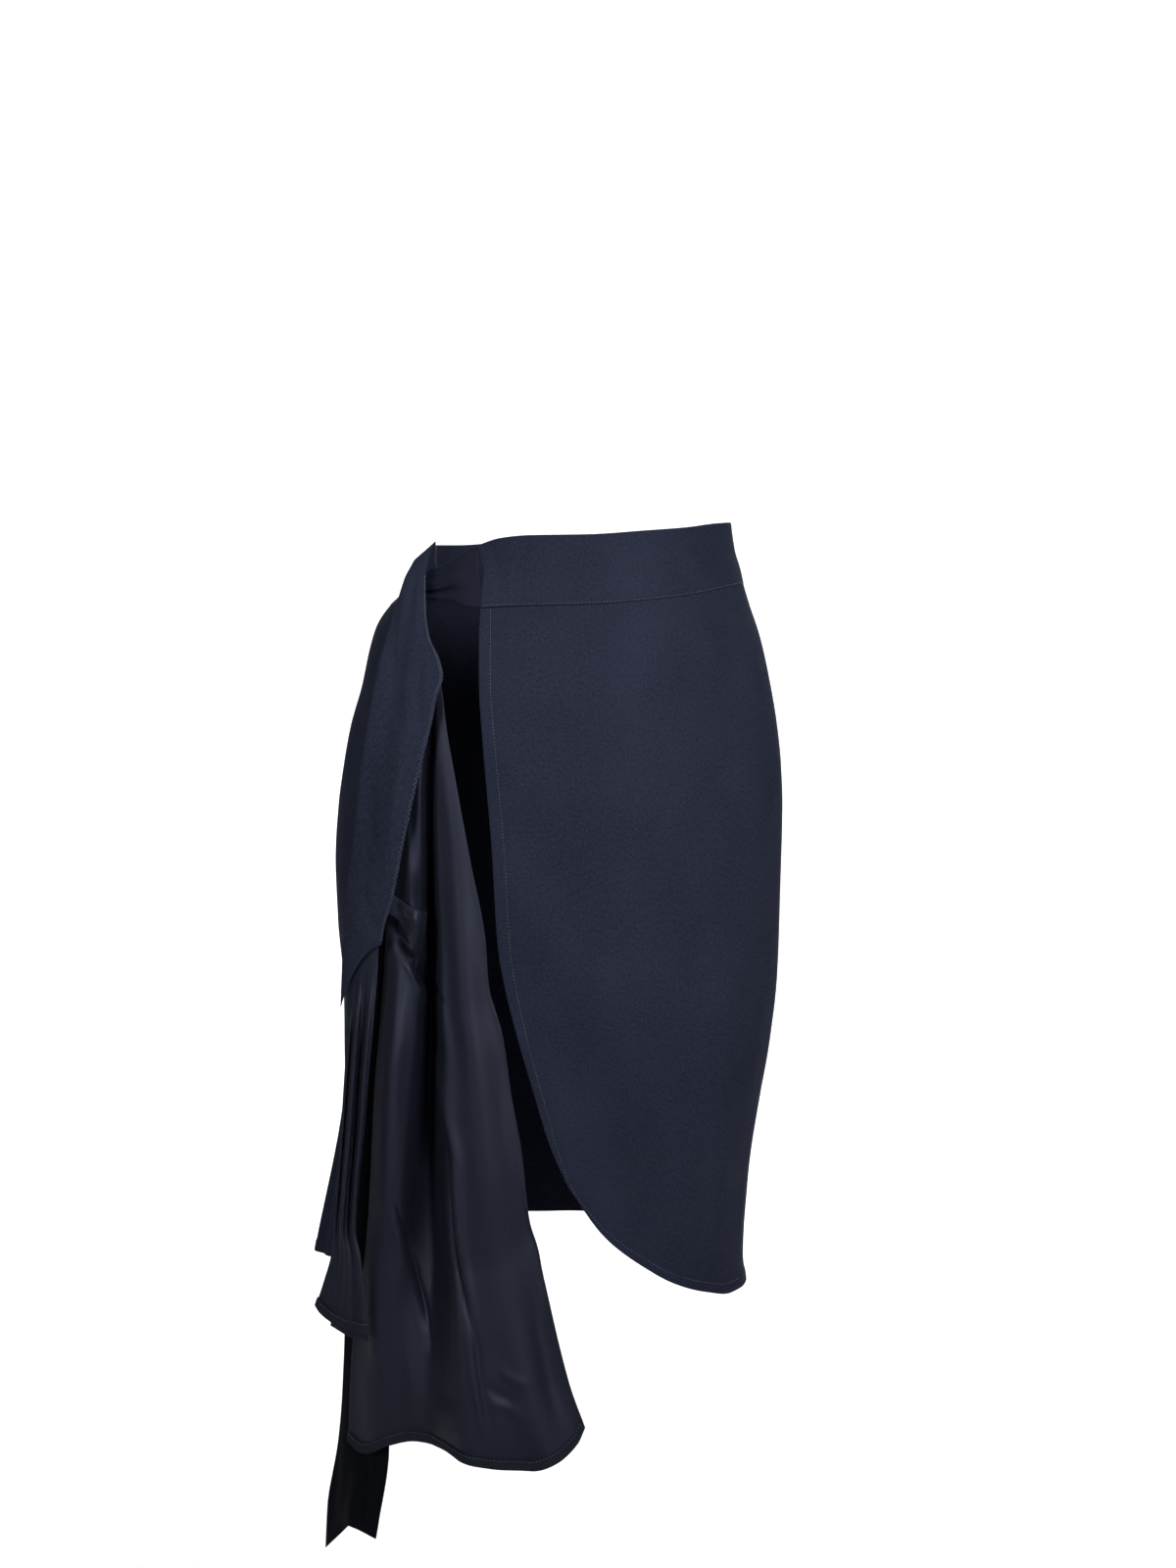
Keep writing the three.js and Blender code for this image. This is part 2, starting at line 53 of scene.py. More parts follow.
def readCurve(rows, key, column, at):
    x, y = rows[key], rows[column]
    rise = np.diff(y) / np.diff(x)
    slope = np.empty_like(y)
    slope[0], slope[-1] = rise[0], rise[-1]
    before, after = rise[:-1], rise[1:]
    turns = before * after <= 0  # the curve is flat where it turns, so it never overshoots
    slope[1:-1] = np.where(turns, 0, 2 * before * after / np.where(turns, 1, before + after))
    i = np.clip(np.searchsorted(x, at) - 1, 0, len(x) - 2)
    span = x[i + 1] - x[i]
    t = np.clip((at - x[i]) / span, 0, 1)
    ease = t * t * (3 - 2 * t)
    leave = slope[i] * span * t * (1 - t) ** 2
    arrive = slope[i + 1] * span * t * t * (1 - t)
    return y[i] + (y[i + 1] - y[i]) * ease + leave - arrive


def lerp(a, b, t):
    return a + (b - a) * t


def smooth(value, low, high):
    t = np.clip((value - low) / (high - low), 0, 1)
    return t * t * (3 - 2 * t)


def stack(x, y, z):
    return np.stack(np.broadcast_arrays(x, y, z), axis=-1).astype(float)


# The forms that the cloth lies on: half widths to the picture's right and left, half depths
bodySections = table("height right left front back", [
    [-800, 126, 188, 96, 94],
    [-582, 127, 188, 97, 95],
    [-561, 124.7, 188, 99, 96],
    [-498, 128.4, 189, 101, 99],
    [-434, 137.4, 190, 105, 103],
    [-390, 145, 190, 108, 107],
    [-340, 151, 190.5, 111, 113],
    [-293, 153, 194.5, 113, 121],
    [-247, 154.2, 196, 114, 127],
    [-200, 154.8, 193.5, 113, 128],
    [-169, 153.5, 189.4, 111, 126],
    [-138, 150.1, 184, 108, 120],
    [-107, 145, 176, 104, 113],
    [-77, 138.8, 169.5, 99, 104],
    [-61, 134.3, 164, 96, 98],
    [-46, 128.9, 154, 93.5, 94],
    [-28, 123.4, 134, 90, 89],
    [-16, 120.3, 124, 88, 87],
    [0, 115.6, 118, 87, 85],
    [21, 113.2, 114, 86, 82],
    [40, 113, 113, 86, 82],
])
hangSections = table("height right left front back", [
    [-800, 165, 222, 126, 128],
    [-560, 165, 218, 122, 128],
    [-300, 160, 196, 117, 128],
    [-200, 154.8, 193.5, 113, 128],
    [-138, 150.1, 184, 108, 120],
    [-77, 138.8, 169.5, 99, 104],
    [-46, 128.9, 151, 93.5, 94],
])


def halfWidth(sections, toRight, height):
    return np.where(toRight, readCurve(sections, "height", "right", height),
                    readCurve(sections, "height", "left", height))


def onForm(sections, angle, height, out=0.0):
    c, s = np.cos(np.radians(angle)), np.sin(np.radians(angle))
    wide = halfWidth(sections, c > 0, height) + out
    deep = np.where(s > 0, readCurve(sections, "height", "front", height),
                    readCurve(sections, "height", "back", height)) + out
    return stack(wide * c, -deep * s, height)


def angleAt(x, height):
    wide = halfWidth(bodySections, x > 0, height)
    return np.degrees(np.arccos(np.clip(x / wide, -1, 1)))


def onHang(x, height, out):
    wide = halfWidth(hangSections, x > 0, height) + out
    deep = readCurve(hangSections, "height", "front", height) + out
    y = -deep * np.sqrt(np.maximum(0, 1 - (x / wide) ** 2))
    return stack(x, y, height)


# A patch between four edges, each a function of 0..1 that gives (across, height)
def patch(top, bottom, left, right):
    corners = [edge(np.float64(t)) for edge in (top, bottom) for t in (0, 1)]

    def inside(u, v):
        sides = []
        for k in (0, 1):
            down = (1 - v) * top(u)[k] + v * bottom(u)[k]
            over = (1 - u) * left(v)[k] + u * right(v)[k]
            upper = (1 - u) * corners[0][k] + u * corners[1][k]
            lower = (1 - u) * corners[2][k] + u * corners[3][k]
            sides.append(down + over - ((1 - v) * upper + v * lower))
        return sides

    return inside


foldColumns = "start full across acrossEnd width height"


def foldOut(folds, u, v):
    total = np.zeros(np.broadcast(u, v).shape)
    for i in range(len(folds["start"])):
        start, full, across, acrossEnd, width, height = [folds[name][i] for name in foldColumns.split()]
        crest = lerp(across, acrossEnd, np.clip((v - start) / (1 - start), 0, 1))
        total += height * smooth(v, start, full) * np.exp(-(((u - crest) / width) ** 2))
    return total


# A crease is a soft trough (or ridge) between two points seen from the front
creaseColumns = "fromX fromZ toX toZ bend width depth"


def creaseRelief(creases, point):
    x, z = point[..., 0], point[..., 2]
    total = np.zeros(x.shape)
    for i in range(len(creases["fromX"])):
        fromX, fromZ, toX, toZ, bend, width, depth = [creases[name][i] for name in creaseColumns.split()]
        runX, runZ = toX - fromX, toZ - fromZ
        run = math.hypot(runX, runZ)
        along = ((x - fromX) * runX + (z - fromZ) * runZ) / run ** 2
        aside = ((x - fromX) * runZ - (z - fromZ) * runX) / run
        aside = aside - bend * np.sin(math.pi * np.clip(along, 0, 1))
        fade = smooth(along, -0.08, 0.3) * (1 - smooth(along, 0.65, 1.08))
        total += depth * fade * np.exp(-((aside / width) ** 2))
    return total


# Slow unevenness, so that no panel is as smooth as its form
def ripple(u, v, size, seed):
    random = np.random.default_rng(seed)
    total = 0
    for wave in (40, 65, 110, 170):
        turn, phase = random.uniform(0, math.pi), random.uniform(0, 2 * math.pi)
        reach = u * size[0] * math.cos(turn) + 0.55 * v * size[1] * math.sin(turn)
        total = total + wave / 170 * np.sin(2 * math.pi * reach / wave + phase)
    return total * smooth(u, 0, 0.08) * (1 - smooth(u, 0.92, 1)) * smooth(v, 0, 0.06)


def rippleOf(piece, seed):
    def relief(u, v):
        return piece["ripple"] * ripple(u, v, (piece["width"], piece["length"]), seed)
    return relief


# Cloth walls
def gridNormal(points):
    across = np.gradient(points, axis=1)
    down = np.gradient(points, axis=0)
    normal = np.cross(down, across)
    return normal / np.maximum(np.linalg.norm(normal, axis=-1, keepdims=True), 1e-9)


def spread(count, length, fine=(0.35, 0.9, 1.8)):
    near = np.array([0.0, *fine]) / length  # finer steps at both ends, where the cloth's edge rounds over
    inner = np.linspace(near[-1], 1 - near[-1], max(count - 2 * len(fine), 3))
    return np.concatenate([near[:-1], inner, 1 - near[:-1][::-1]])


def moved(surface, distance):
    def shifted(u, v):
        step = 0.002
        across = surface(np.minimum(u + step, 1), v) - surface(np.maximum(u - step, 0), v)
        down = surface(u, np.minimum(v + step, 1)) - surface(u, np.maximum(v - step, 0))
        normal = np.cross(down, across)
        normal /= np.maximum(np.linalg.norm(normal, axis=-1, keepdims=True), 1e-9)
        far = distance(u, v) if callable(distance) else distance
        return surface(u, v) + normal * np.asarray(far)[..., None]
    return shifted


def creased(surface, creases, extra=None):
    def relief(u, v):
        total = creaseRelief(creases, surface(u, v))
        return total + extra(u, v) if extra else total
    return moved(surface, relief)


def meshFrom(name, points, faces, uvs, material):
    mesh = bpy.data.meshes.new(name)
    mesh.vertices.add(len(points))
    mesh.vertices.foreach_set("co", (points * mm).astype(np.float32).ravel())
    mesh.loops.add(faces.size)
    mesh.loops.foreach_set("vertex_index", faces.astype(np.int32).ravel())
    mesh.polygons.add(len(faces))
    mesh.polygons.foreach_set("loop_start", np.arange(0, faces.size, 4, dtype=np.int32))
    mesh.update(calc_edges=True)
    cloth = mesh.uv_layers.new(name="cloth")
    cloth.uv.foreach_set("vector", uvs[faces.ravel()].astype(np.float32).ravel())
    mesh.validate()
    mesh.shade_smooth()
    mesh.set_sharp_from_angle(angle=math.radians(70))
    mesh.materials.append(material)
    piece = bpy.data.objects.new(name, mesh)
    bpy.context.scene.collection.objects.link(piece)
    return piece


def evened(surface, across, down):
    fine = np.linspace(0, 1, 4 * len(across))
    u, v = np.meshgrid(fine, down)
    steps = np.linalg.norm(np.diff(surface(u, v), axis=1), axis=-1)
    reached = np.concatenate([np.zeros((len(down), 1)), np.cumsum(steps, axis=1)], axis=1)
    reached /= reached[:, -1:]  # columns spaced by the cloth's own width, so folds take as many as they need
    return np.array([np.interp(across, row, fine) for row in reached])


def clothWall(name, surface, piece, grid, material, thickness=clothThickness, swell=None,
              across=None, even=False):
    width, length = piece["width"], piece["length"]
    across = spread(grid[0], width) if across is None else across
    down = spread(grid[1], length)
    share, v = np.meshgrid(across, down)
    u = evened(surface, across, down) if even else share
    middle = surface(u, v)
    normal = gridNormal(middle)
    edge = np.minimum.reduce([share * width, (1 - share) * width, v * length, (1 - v) * length])
    half = thickness / 2 * lerp(0.5, 1, smooth(edge, 0, 0.9))
    raised = half + (swell(u, v) if swell else 0)
    layers = [middle + normal * raised[..., None], middle - normal * half[..., None]]
    points = np.concatenate([layer.reshape(-1, 3) for layer in layers])
    rows, columns = u.shape
    at = np.arange(rows * columns).reshape(rows, columns)
    back = at + rows * columns

    def quads(*corners):
        return np.stack([corner.ravel() for corner in corners], axis=1)

    faces = np.concatenate([
        quads(at[:-1, :-1], at[1:, :-1], at[1:, 1:], at[:-1, 1:]),
        quads(back[:-1, :-1], back[:-1, 1:], back[1:, 1:], back[1:, :-1]),
        quads(at[0, :-1], at[0, 1:], back[0, 1:], back[0, :-1]),
        quads(at[-1, :-1], back[-1, :-1], back[-1, 1:], at[-1, 1:]),
        quads(at[:-1, 0], back[:-1, 0], back[1:, 0], at[1:, 0]),
        quads(at[:-1, -1], at[1:, -1], back[1:, -1], back[:-1, -1]),
    ])
    uv = np.stack([share * width * mm, -v * length * mm], axis=-1).reshape(-1, 2)
    return meshFrom(name, points, faces, np.concatenate([uv, uv]), material)


# Materials
crepeLook = {"colour": (0.0110, 0.0135, 0.0265), "pale": (0.0240, 0.0285, 0.0490),
             "grain": 620, "relief": 0.5}
satinLook = {"colour": (0.0050, 0.0060, 0.0125), "pale": (0.0082, 0.0095, 0.0180),
             "rib": 5200, "relief": 0.06}
# painted shade: the tail's satin is a darker copy of the drape's satin, for the dim light that falls on the
# tail
shadedTailLook = {"colour": (0.0022, 0.0024, 0.0040), "pale": (0.0036, 0.0040, 0.0062),
            "rib": 5200, "relief": 0.05}
hemLook = {"colour": (0.0095, 0.0108, 0.0175), "pale": (0.0150, 0.0168, 0.0260),
           "rib": 4200, "relief": 0.08}
threadLook = {"colour": (0.045, 0.051, 0.078), "pale": (0.080, 0.088, 0.125), "grain": 4000, "relief": 0.1}
sheenTint = (0.62, 0.66, 0.85, 1)


def addNode(tree, kind, values=None, feeds=None, **settings):
    node = tree.nodes.new(kind)
    for name, value in settings.items():
        setattr(node, name, value)
    for socket, value in (values or {}).items():
        node.inputs[socket].default_value = value
    for socket, source in (feeds or {}).items():
        tree.links.new(source, node.inputs[socket])
    return node


def newMaterial(name):
    material = bpy.data.materials.new(name)
    material.use_nodes = True
    tree = material.node_tree
    return material, tree, tree.nodes["Principled BSDF"]


def noise(tree, vector, scale, detail=3.0, roughness=0.55):
    values = {"Scale": scale, "Detail": detail, "Roughness": roughness}
    return addNode(tree, "ShaderNodeTexNoise", values, {"Vector": vector}).outputs["Fac"]


def mixColours(tree, factor, look, low, high):
    ramp = addNode(tree, "ShaderNodeValToRGB", feeds={"Fac": factor})
    first, last = ramp.color_ramp.elements
    first.position, last.position = low, high
    first.color, last.color = (*look["colour"], 1), (*look["pale"], 1)
    return ramp.outputs["Color"]


def weighted(tree, first, weight, second):
    feeds = {0: first, 2: second}
    return addNode(tree, "ShaderNodeMath", {1: weight}, feeds, operation="MULTIPLY_ADD").outputs[0]


def clothCoordinates(tree, stretch):
    uv = addNode(tree, "ShaderNodeUVMap", uv_map="cloth")
    mapping = addNode(tree, "ShaderNodeMapping", {"Scale": stretch}, {"Vector": uv.outputs["UV"]})
    return mapping.outputs["Vector"]


def bump(tree, height, strength, distance, before=None):
    feeds = {"Height": height, "Normal": before} if before else {"Height": height}
    values = {"Strength": strength, "Distance": distance}
    return addNode(tree, "ShaderNodeBump", values, feeds).outputs["Normal"]


def setShader(tree, shader, colour, normal, values):
    tree.links.new(colour, shader.inputs["Base Color"])
    tree.links.new(normal, shader.inputs["Normal"])
    for socket, value in values.items():
        shader.inputs[socket].default_value = value


def crepeMaterial(look):
    material, tree, shader = newMaterial("navyCrepe")
    cloth = clothCoordinates(tree, (1, 0.62, 1))
    pebbles = noise(tree, cloth, look["grain"], 4.0, 0.85)  # the twisted yarns' pebbly face
    wear = noise(tree, cloth, 14, 3.0, 0.5)
    colour = mixColours(tree, weighted(tree, wear, 0.3, pebbles), look, 0.5, 0.82)
    fine = bump(tree, pebbles, look["relief"], 0.0006)
    normal = bump(tree, noise(tree, cloth, 330, 3.0, 0.6), 0.12, 0.0008, fine)
    setShader(tree, shader, colour, normal, {
        "Roughness": 0.86, "Specular IOR Level": 0.05,
        "Sheen Weight": 0.01, "Sheen Roughness": 0.45, "Sheen Tint": sheenTint})
    return material


def satinMaterial(name, look, roughness, gloss):
    material, tree, shader = newMaterial(name)
    ribs = clothCoordinates(tree, (1, 0.12, 1))
    floats = noise(tree, ribs, look["rib"], 2.0, 0.5)  # long floating yarns run down the cloth
    cloth = clothCoordinates(tree, (1, 0.4, 1))
    cloud = noise(tree, cloth, 18, 4.0, 0.6)
    speckle = noise(tree, cloth, 700, 3.0, 0.8)
    colour = mixColours(tree, weighted(tree, speckle, 1.1, cloud), look, 0.75, 1.35)
    fine = bump(tree, floats, look["relief"], 0.0004)
    rumpled = bump(tree, noise(tree, cloth, 55, 3.0, 0.5), 0.10, 0.004, fine)
    normal = bump(tree, noise(tree, ribs, 700, 2.0, 0.5), 0.05, 0.0006, rumpled)
    shine = addNode(tree, "ShaderNodeMapRange", {"To Min": roughness - 0.04, "To Max": roughness + 0.07},
                    {"Value": cloud})
    tree.links.new(shine.outputs["Result"], shader.inputs["Roughness"])
    setShader(tree, shader, colour, normal, {
        "Specular IOR Level": gloss, "Specular Tint": (0.70, 0.77, 1.0, 1),
        "Sheen Weight": 0.02, "Sheen Roughness": 0.35, "Sheen Tint": sheenTint})
    return material


def threadMaterial(look):
    material, tree, shader = newMaterial("navyThread")
    place = addNode(tree, "ShaderNodeTexCoord").outputs["Object"]
    strands = noise(tree, place, look["grain"], 2.0)
    colour = mixColours(tree, strands, look, 0.3, 0.7)
    normal = bump(tree, strands, look["relief"], 0.0002)
    setShader(tree, shader, colour, normal, {"Roughness": 0.6, "Sheen Weight": 0.2})
    return material


crepe = crepeMaterial(crepeLook)
satin = satinMaterial("navySatin", satinLook, 0.52, 0.34)
dullSatin = satinMaterial("dullSatin", satinLook, 0.72, 0.14)
# painted shade: a darker, less glossy copy of the satin for the tail
shadedTailSatin = satinMaterial("paintedShadeSatin", shadedTailLook, 0.55, 0.05)
hemSatin = satinMaterial("hemSatin", hemLook, 0.8, 0.08)
thread = threadMaterial(threadLook)
print("materials made")

# Waistband
bandEdges = table("angle top bottom", [
    [-205, -19, -44.4],
    [-196, -8, -45],
    [-188, 1, -45],
    [-180, 3, -45],
    [-150, 3, -43],
    [-120, 6, -40],
    [-90, 9.5, -36],
    [-50, 14.5, -31],
    [-15, 19, -28],
    [10, 20.6, -27.6],
    [28, 19.7, -29.6],
    [48, 16.5, -34.6],
    [66, 14.2, -38.6],
    [89, 11.2, -41.9],
    [112, 10.5, -43.4],
    [124, 8.3, -45.1],
    [135, 2.4, -46],
])
band = {"backEnd": -205, "thickness": 1.7, "topX": -82.5, "topHeight": 2.4, "bottomX": -79.5,
        "bottomHeight": -45.1, "tuck": 0.8, "length": 640, "width": 50}
seamAngle = 14
bandCreases = table(creaseColumns, [
    [-52, 9, -56, -40, 2, 3.5, 0.5],
    [-18, -38, -25, 4, -2, 5, 0.45],
    [34, 10, 30, -38, 1, 4, -0.4],
    [78, 15, 84, -30, 0, 4, 0.4],
    [-70, 5, -64, -42, 0, 3, -0.5],
])


def bandTop(angle):
    return readCurve(bandEdges, "angle", "top", angle)


def bandBottom(angle):
    return readCurve(bandEdges, "angle", "bottom", angle)


bandTopAngle = angleAt(np.float64(band["topX"]), np.float64(band["topHeight"]))
bandBottomAngle = angleAt(np.float64(band["bottomX"]), np.float64(band["bottomHeight"]))


def bandSurface(u, v):
    angle = lerp(lerp(bandTopAngle, bandBottomAngle, v), band["backEnd"], u)
    return onForm(bodySections, angle, lerp(bandTop(angle), bandBottom(angle), v))


def bandSwell(u, v):
    roll = 0.45 * np.sin(math.pi * v) ** 0.5  # the folded upper edge is soft, the face a little crowned
    pull = 0.16 * np.sin(u * band["length"] / 2.9) * np.exp(-((1 - v) * band["width"] / 2.2) ** 2)
    return roll + pull


bandCloth = creased(bandSurface, bandCreases)
waistband = clothWall("waistband_cloth", bandCloth, {"width": band["length"], "length": band["width"]},
                      (420, 40), crepe, band["thickness"], bandSwell)

# Front panel
freeEdge = table("height x", [
    [-484.8, -12.9],
    [-453.5, -26.3],
    [-405.8, -40.4],
    [-369.6, -50.8],
    [-329.8, -60.3],
    [-299, -65.4],
    [-228, -69.7],
    [-147, -77.1],
    [-103, -80.2],
    [-74, -80.4],
    [-45.4, -79.6],
])
frontHem = table("x height", [
    [-12.9, -484.8],
    [10.2, -519.4],
    [23, -532.7],
    [44.1, -549.2],
    [65.4, -564.6],
    [84, -574.4],
    [102.8, -581],
    [122, -581.2],
])
front = {"width": 232, "length": 540, "turnIn": 7.2, "turnInHem": 8, "footShare": 0.62, "ripple": 0.35}
frontFolds = table(foldColumns, [
    [0.25, 0.8, 0.3, 0.26, 0.1, 2.5],
    [0.2, 0.9, 0.62, 0.66, 0.12, -2.5],
    [0.1, 0.6, 1.0, 1.0, 0.12, 2.5],
])
frontCreases = table(creaseColumns, [
    [-70, -52, -66, -96, 1, 5, -0.8],
    [-40, -46, -48, -120, 3, 9, 0.8],
    [30, -44, 22, -140, 3, 12, -0.7],
    [92, -40, 100, -150, -3, 9, 0.7],
    [-12, -240, -36, -420, 6, 7, 1.6],
    [6, -260, -10, -430, 4, 10, -1.1],
    [40, -300, 30, -470, 3, 14, 1.2],
    [86, -260, 80, -540, -3, 12, -1.4],
    [108, -330, 104, -560, 0, 8, 1.2],
    [58, -430, 52, -560, 2, 9, -1.1],
    [130, -120, 134, -330, -3, 7, 1.0],
])


def frontOutline():
    seamTop = bandBottom(np.float64(seamAngle)) + band["tuck"]
    seamFoot = frontHem["height"][-1]
    edgeTop, edgeFoot = freeEdge["height"][-1], freeEdge["height"][0]

    def top(t):
        angle = lerp(bandBottomAngle, seamAngle, t)
        return angle, bandBottom(angle) + band["tuck"]  # the raw edge goes up between the band's layers

    def bottom(t):
        x = lerp(frontHem["x"][0], frontHem["x"][-1], t)
        height = readCurve(frontHem, "x", "height", x)
        return lerp(angleAt(x, height), seamAngle, t ** 6), height

    def left(t):
        height = lerp(edgeTop, edgeFoot, t)
        return angleAt(readCurve(freeEdge, "height", "x", height), height), height

    def right(t):
        return seamAngle + 0 * t, lerp(seamTop, seamFoot, t)

    return patch(top, bottom, left, right)


frontPatch = frontOutline()


def frontSurface(u, v):
    angle, height = frontPatch(u, v)
    return onForm(bodySections, angle, height, foldOut(frontFolds, 1 - u, v))


def frontSwell(u, v):
    fromEdge = u * front["width"] * lerp(1, front["footShare"], v)  # the panel narrows towards its foot
    fromHem = (1 - v) * front["length"]
    turned = 1 - smooth(fromEdge, front["turnIn"] - 0.4, front["turnIn"] + 0.5)
    turnedHem = 1 - smooth(fromHem, front["turnInHem"] - 0.4, front["turnInHem"] + 0.6)
    stitched = np.exp(-(((fromEdge - front["turnIn"]) / 0.8) ** 2))
    stitchedHem = np.exp(-(((fromHem - front["turnInHem"]) / 0.8) ** 2))
    return 0.4 * np.maximum(turned, turnedHem) - 0.3 * np.maximum(stitched, stitchedHem)


stitchColumns = np.array([5.2, 6.2, 6.8, 7.2, 7.6, 8.2, 9.2, 10.4, 11.4, 12.2])  # finer beside the stitching
frontAcross = np.unique(np.concatenate([spread(96, front["width"]), stitchColumns / front["width"]]))
frontCloth = creased(frontSurface, frontCreases, rippleOf(front, 11))
frontPanel = clothWall("front_cloth", frontCloth, front, (96, 250), crepe,
                       swell=frontSwell, across=frontAcross)

# Back panel
backHem = table("angle height", [
    [-207, -556],
    [-180, -558.5],
    [-130, -551],
    [-90, -546],
    [-40, -562],
    [0, -580],
    [14, -581.2],
])
back = {"end": -207, "overlap": 0.2, "width": 590, "length": 520, "hem": 9, "ripple": 0.5}
backFolds = table(foldColumns, [
    [0.7, 1.08, 0.855, 0.865, 0.07, 32],
    [0.45, 1, 0.735, 0.725, 0.05, -9],
    [0.4, 1, 0.6, 0.58, 0.06, 8],
    [0.45, 1, 0.44, 0.43, 0.07, -6],
    [0.35, 1, 0.28, 0.27, 0.07, 5],
    [0.55, 0.9, 0.9, 0.892, 0.012, -4],
    [0.5, 0.9, 0.93, 0.925, 0.014, 3],
    [0.6, 1, 0.83, 0.838, 0.014, -3],
    [0.3, 1, 0.5, 0.52, 0.02, -2],
    [0.4, 1, 0.34, 0.35, 0.025, 2],
    [0.3, 0.9, 0.2, 0.17, 0.03, -2.5],
])
backCreases = table(creaseColumns, [
    [-168, -96, -184, -210, 3, 4, -1.2],
    [-176, -120, -190, -300, 2, 5, 1.2],
    [-60, -60, -90, -170, -4, 8, 1.0],
    [40, -50, 70, -160, 4, 8, 1.0],
    [100, -160, 130, -260, 3, 7, -0.9],
    [-30, -250, -60, -420, 6, 11, -1.4],
    [30, -260, 44, -480, -5, 12, 1.4],
    [90, -330, 96, -520, 2, 9, -1.2],
    [-110, -300, -120, -500, 2, 9, 1.2],
])


def backSurface(u, v):
    angle = lerp(seamAngle + back["overlap"], back["end"], u)
    foot = readCurve(backHem, "angle", "height", angle)
    height = lerp(bandBottom(angle) + band["tuck"], foot, v)
    return onForm(bodySections, angle, height, foldOut(backFolds, u, v))


def backSwell(u, v):
    fromHem = (1 - v) * back["length"]
    fromEdge = (1 - u) * back["width"]
    turned = np.maximum(1 - smooth(fromHem, back["hem"] - 0.6, back["hem"] + 0.8),
                        1 - smooth(fromEdge, back["hem"] - 0.6, back["hem"] + 0.8))
    return 0.4 * turned - 0.2 * np.exp(-(((fromHem - back["hem"]) / 0.9) ** 2))


backPanel = clothWall("back_cloth", creased(backSurface, backCreases, rippleOf(back, 23)),
                      back, (230, 190), crepe, swell=backSwell)
print("waistband and panels made")

# Straps: each row is one line across, with how far its middle stands out
strapColumns = "along leftX leftY leftZ rightX rightY rightZ crown bow"
sashLines = table(strapColumns, [
    [0, -134, -39, -34, -119, -42.5, -37, 0, 0],
    [1, -132.5, -39, -22, -117, -42.5, -18, 0, 0],
    [2, -130.5, -40, -13, -115.8, -43, -5, 0.5, 0],
    [3, -131.5, -44, -9.5, -115, -46, 5.5, 1, 0],
    [4, -134.6, -48, -15, -117.8, -51, 1, 1.5, 0],
    [5, -138, -52, -21.5, -120.5, -56.5, -12, 2, 0],
    [6, -140.5, -56, -29, -122.3, -61, -24, 2.5, 0],
    [7, -143.5, -60, -39, -122, -66, -35, 3, 0],
    [8, -146.8, -65, -50, -121.3, -73, -48, 3.5, 0],
    [9, -150, -70, -67, -118.3, -82, -66, 4, 0],
    [10, -154, -75, -85, -109.8, -96, -84, 5, 0],
    [11, -156, -78, -98, -107, -103, -96, 5, 0],
    [12, -158.5, -80.5, -110, -111, -107, -109, 5, 0],
    [13, -162, -83, -131, -115.5, -109, -131, 5, 0],
    [14, -166, -85, -157, -122, -111, -157, 5, 0],
    [15, -172, -84.5, -195, -131, -111, -195, 5, 0],
    [16, -178, -82, -232, -139, -109, -232, 4, 0],
    [17, -183, -79.5, -265, -145, -107, -262, 4, 0],
    [18, -185.5, -79, -302, -152, -104, -285, 4, 3],
    [19, -187.5, -80, -350, -154.5, -103, -299, 3, 9],
])
tailLines = table(strapColumns, [
    [0, -125.3, -43.5, -18, -125.1, -47, -38, 0, 0],
    [1, -131, -45, -22, -126.5, -50, -41, 0, 0],
    [2, -138, -49, -36, -126, -55, -52, 1, 0],
    [3, -144, -54, -56, -125, -63, -66, 1, 0],
    [4, -149, -59, -82, -124, -74, -86, 1, 0],
    [5, -154, -63, -120, -127, -83, -122, 1, 0],
    [6, -166, -62, -165, -133, -85, -165, 2, 0],
    [7, -176, -55, -210, -140, -84, -210, 3, 0],
    [8, -182, -54, -300, -146, -87, -300, 3, 0],
    [9, -185, -60, -450, -149, -91, -450, 3, 0],
    [10, -187, -68, -610, -151, -94, -610, 2, 0],
    [11, -193, -65, -687, -151, -94.5, -687, 2, 0],
    [12, -202, -58, -746, -159, -91, -746, 2, 0],
    [13, -204, -54, -782, -162, -90, -765, 2, 0],
])


def strap(lines, u, along):
    left = stack(*[readCurve(lines, "along", name, along) for name in ("leftX", "leftY", "leftZ")])
    right = stack(*[readCurve(lines, "along", name, along) for name in ("rightX", "rightY", "rightZ")])
    middle = 4 * u * (1 - u)
    outward = stack(left[..., 1] - right[..., 1], right[..., 0] - left[..., 0], 0 * along)
    outward /= np.linalg.norm(outward, axis=-1, keepdims=True)
    point = left + (right - left) * u[..., None]
    point -= outward * (middle * readCurve(lines, "along", "crown", along))[..., None]
    point[..., 2] += middle * readCurve(lines, "along", "bow", along)
    return point


# Sash
sash = {"width": 42, "length": 370, "ripple": 0.3, "edgeLift": 4}
sashCreases = table(creaseColumns, [
    [-129, -40, -138, -130, 1, 5.0, 1.6],
    [-139, -60, -152, -170, 2, 7.0, -1.5],
    [-132, -110, -150, -250, 2, 6.0, 1.3],
    [-158, -150, -172, -290, 2, 7.0, -1.2],
    [-128, -12, -134, -58, 2, 3.0, -1.3],
    [-125, -22, -128, -78, 1, 2.6, 1.1],
    [-136, -30, -142, -92, 2, 3.2, 1.1],
    [-131, -52, -140, -150, 3, 5.0, -1.2],
    [-124, -60, -122, -120, -2, 4.0, 1.0],
    [-118, -70, -126, -140, 3, 3.5, -0.8],
    [-146, -80, -160, -210, 3, 5.0, 1.1],
    [-150, -120, -166, -260, 2, 5.0, -1.0],
    [-136, -150, -152, -270, 2, 4.0, 0.8],
    [-170, -255, -156, -292, 2, 4.0, -1.2],
    [-178, -290, -160, -272, -2, 4.0, 1.1],
    [-183, -310, -170, -296, 1, 3.0, -1.0],
])


def sashSurface(u, v):
    return strap(sashLines, u, v * sashLines["along"][-1])


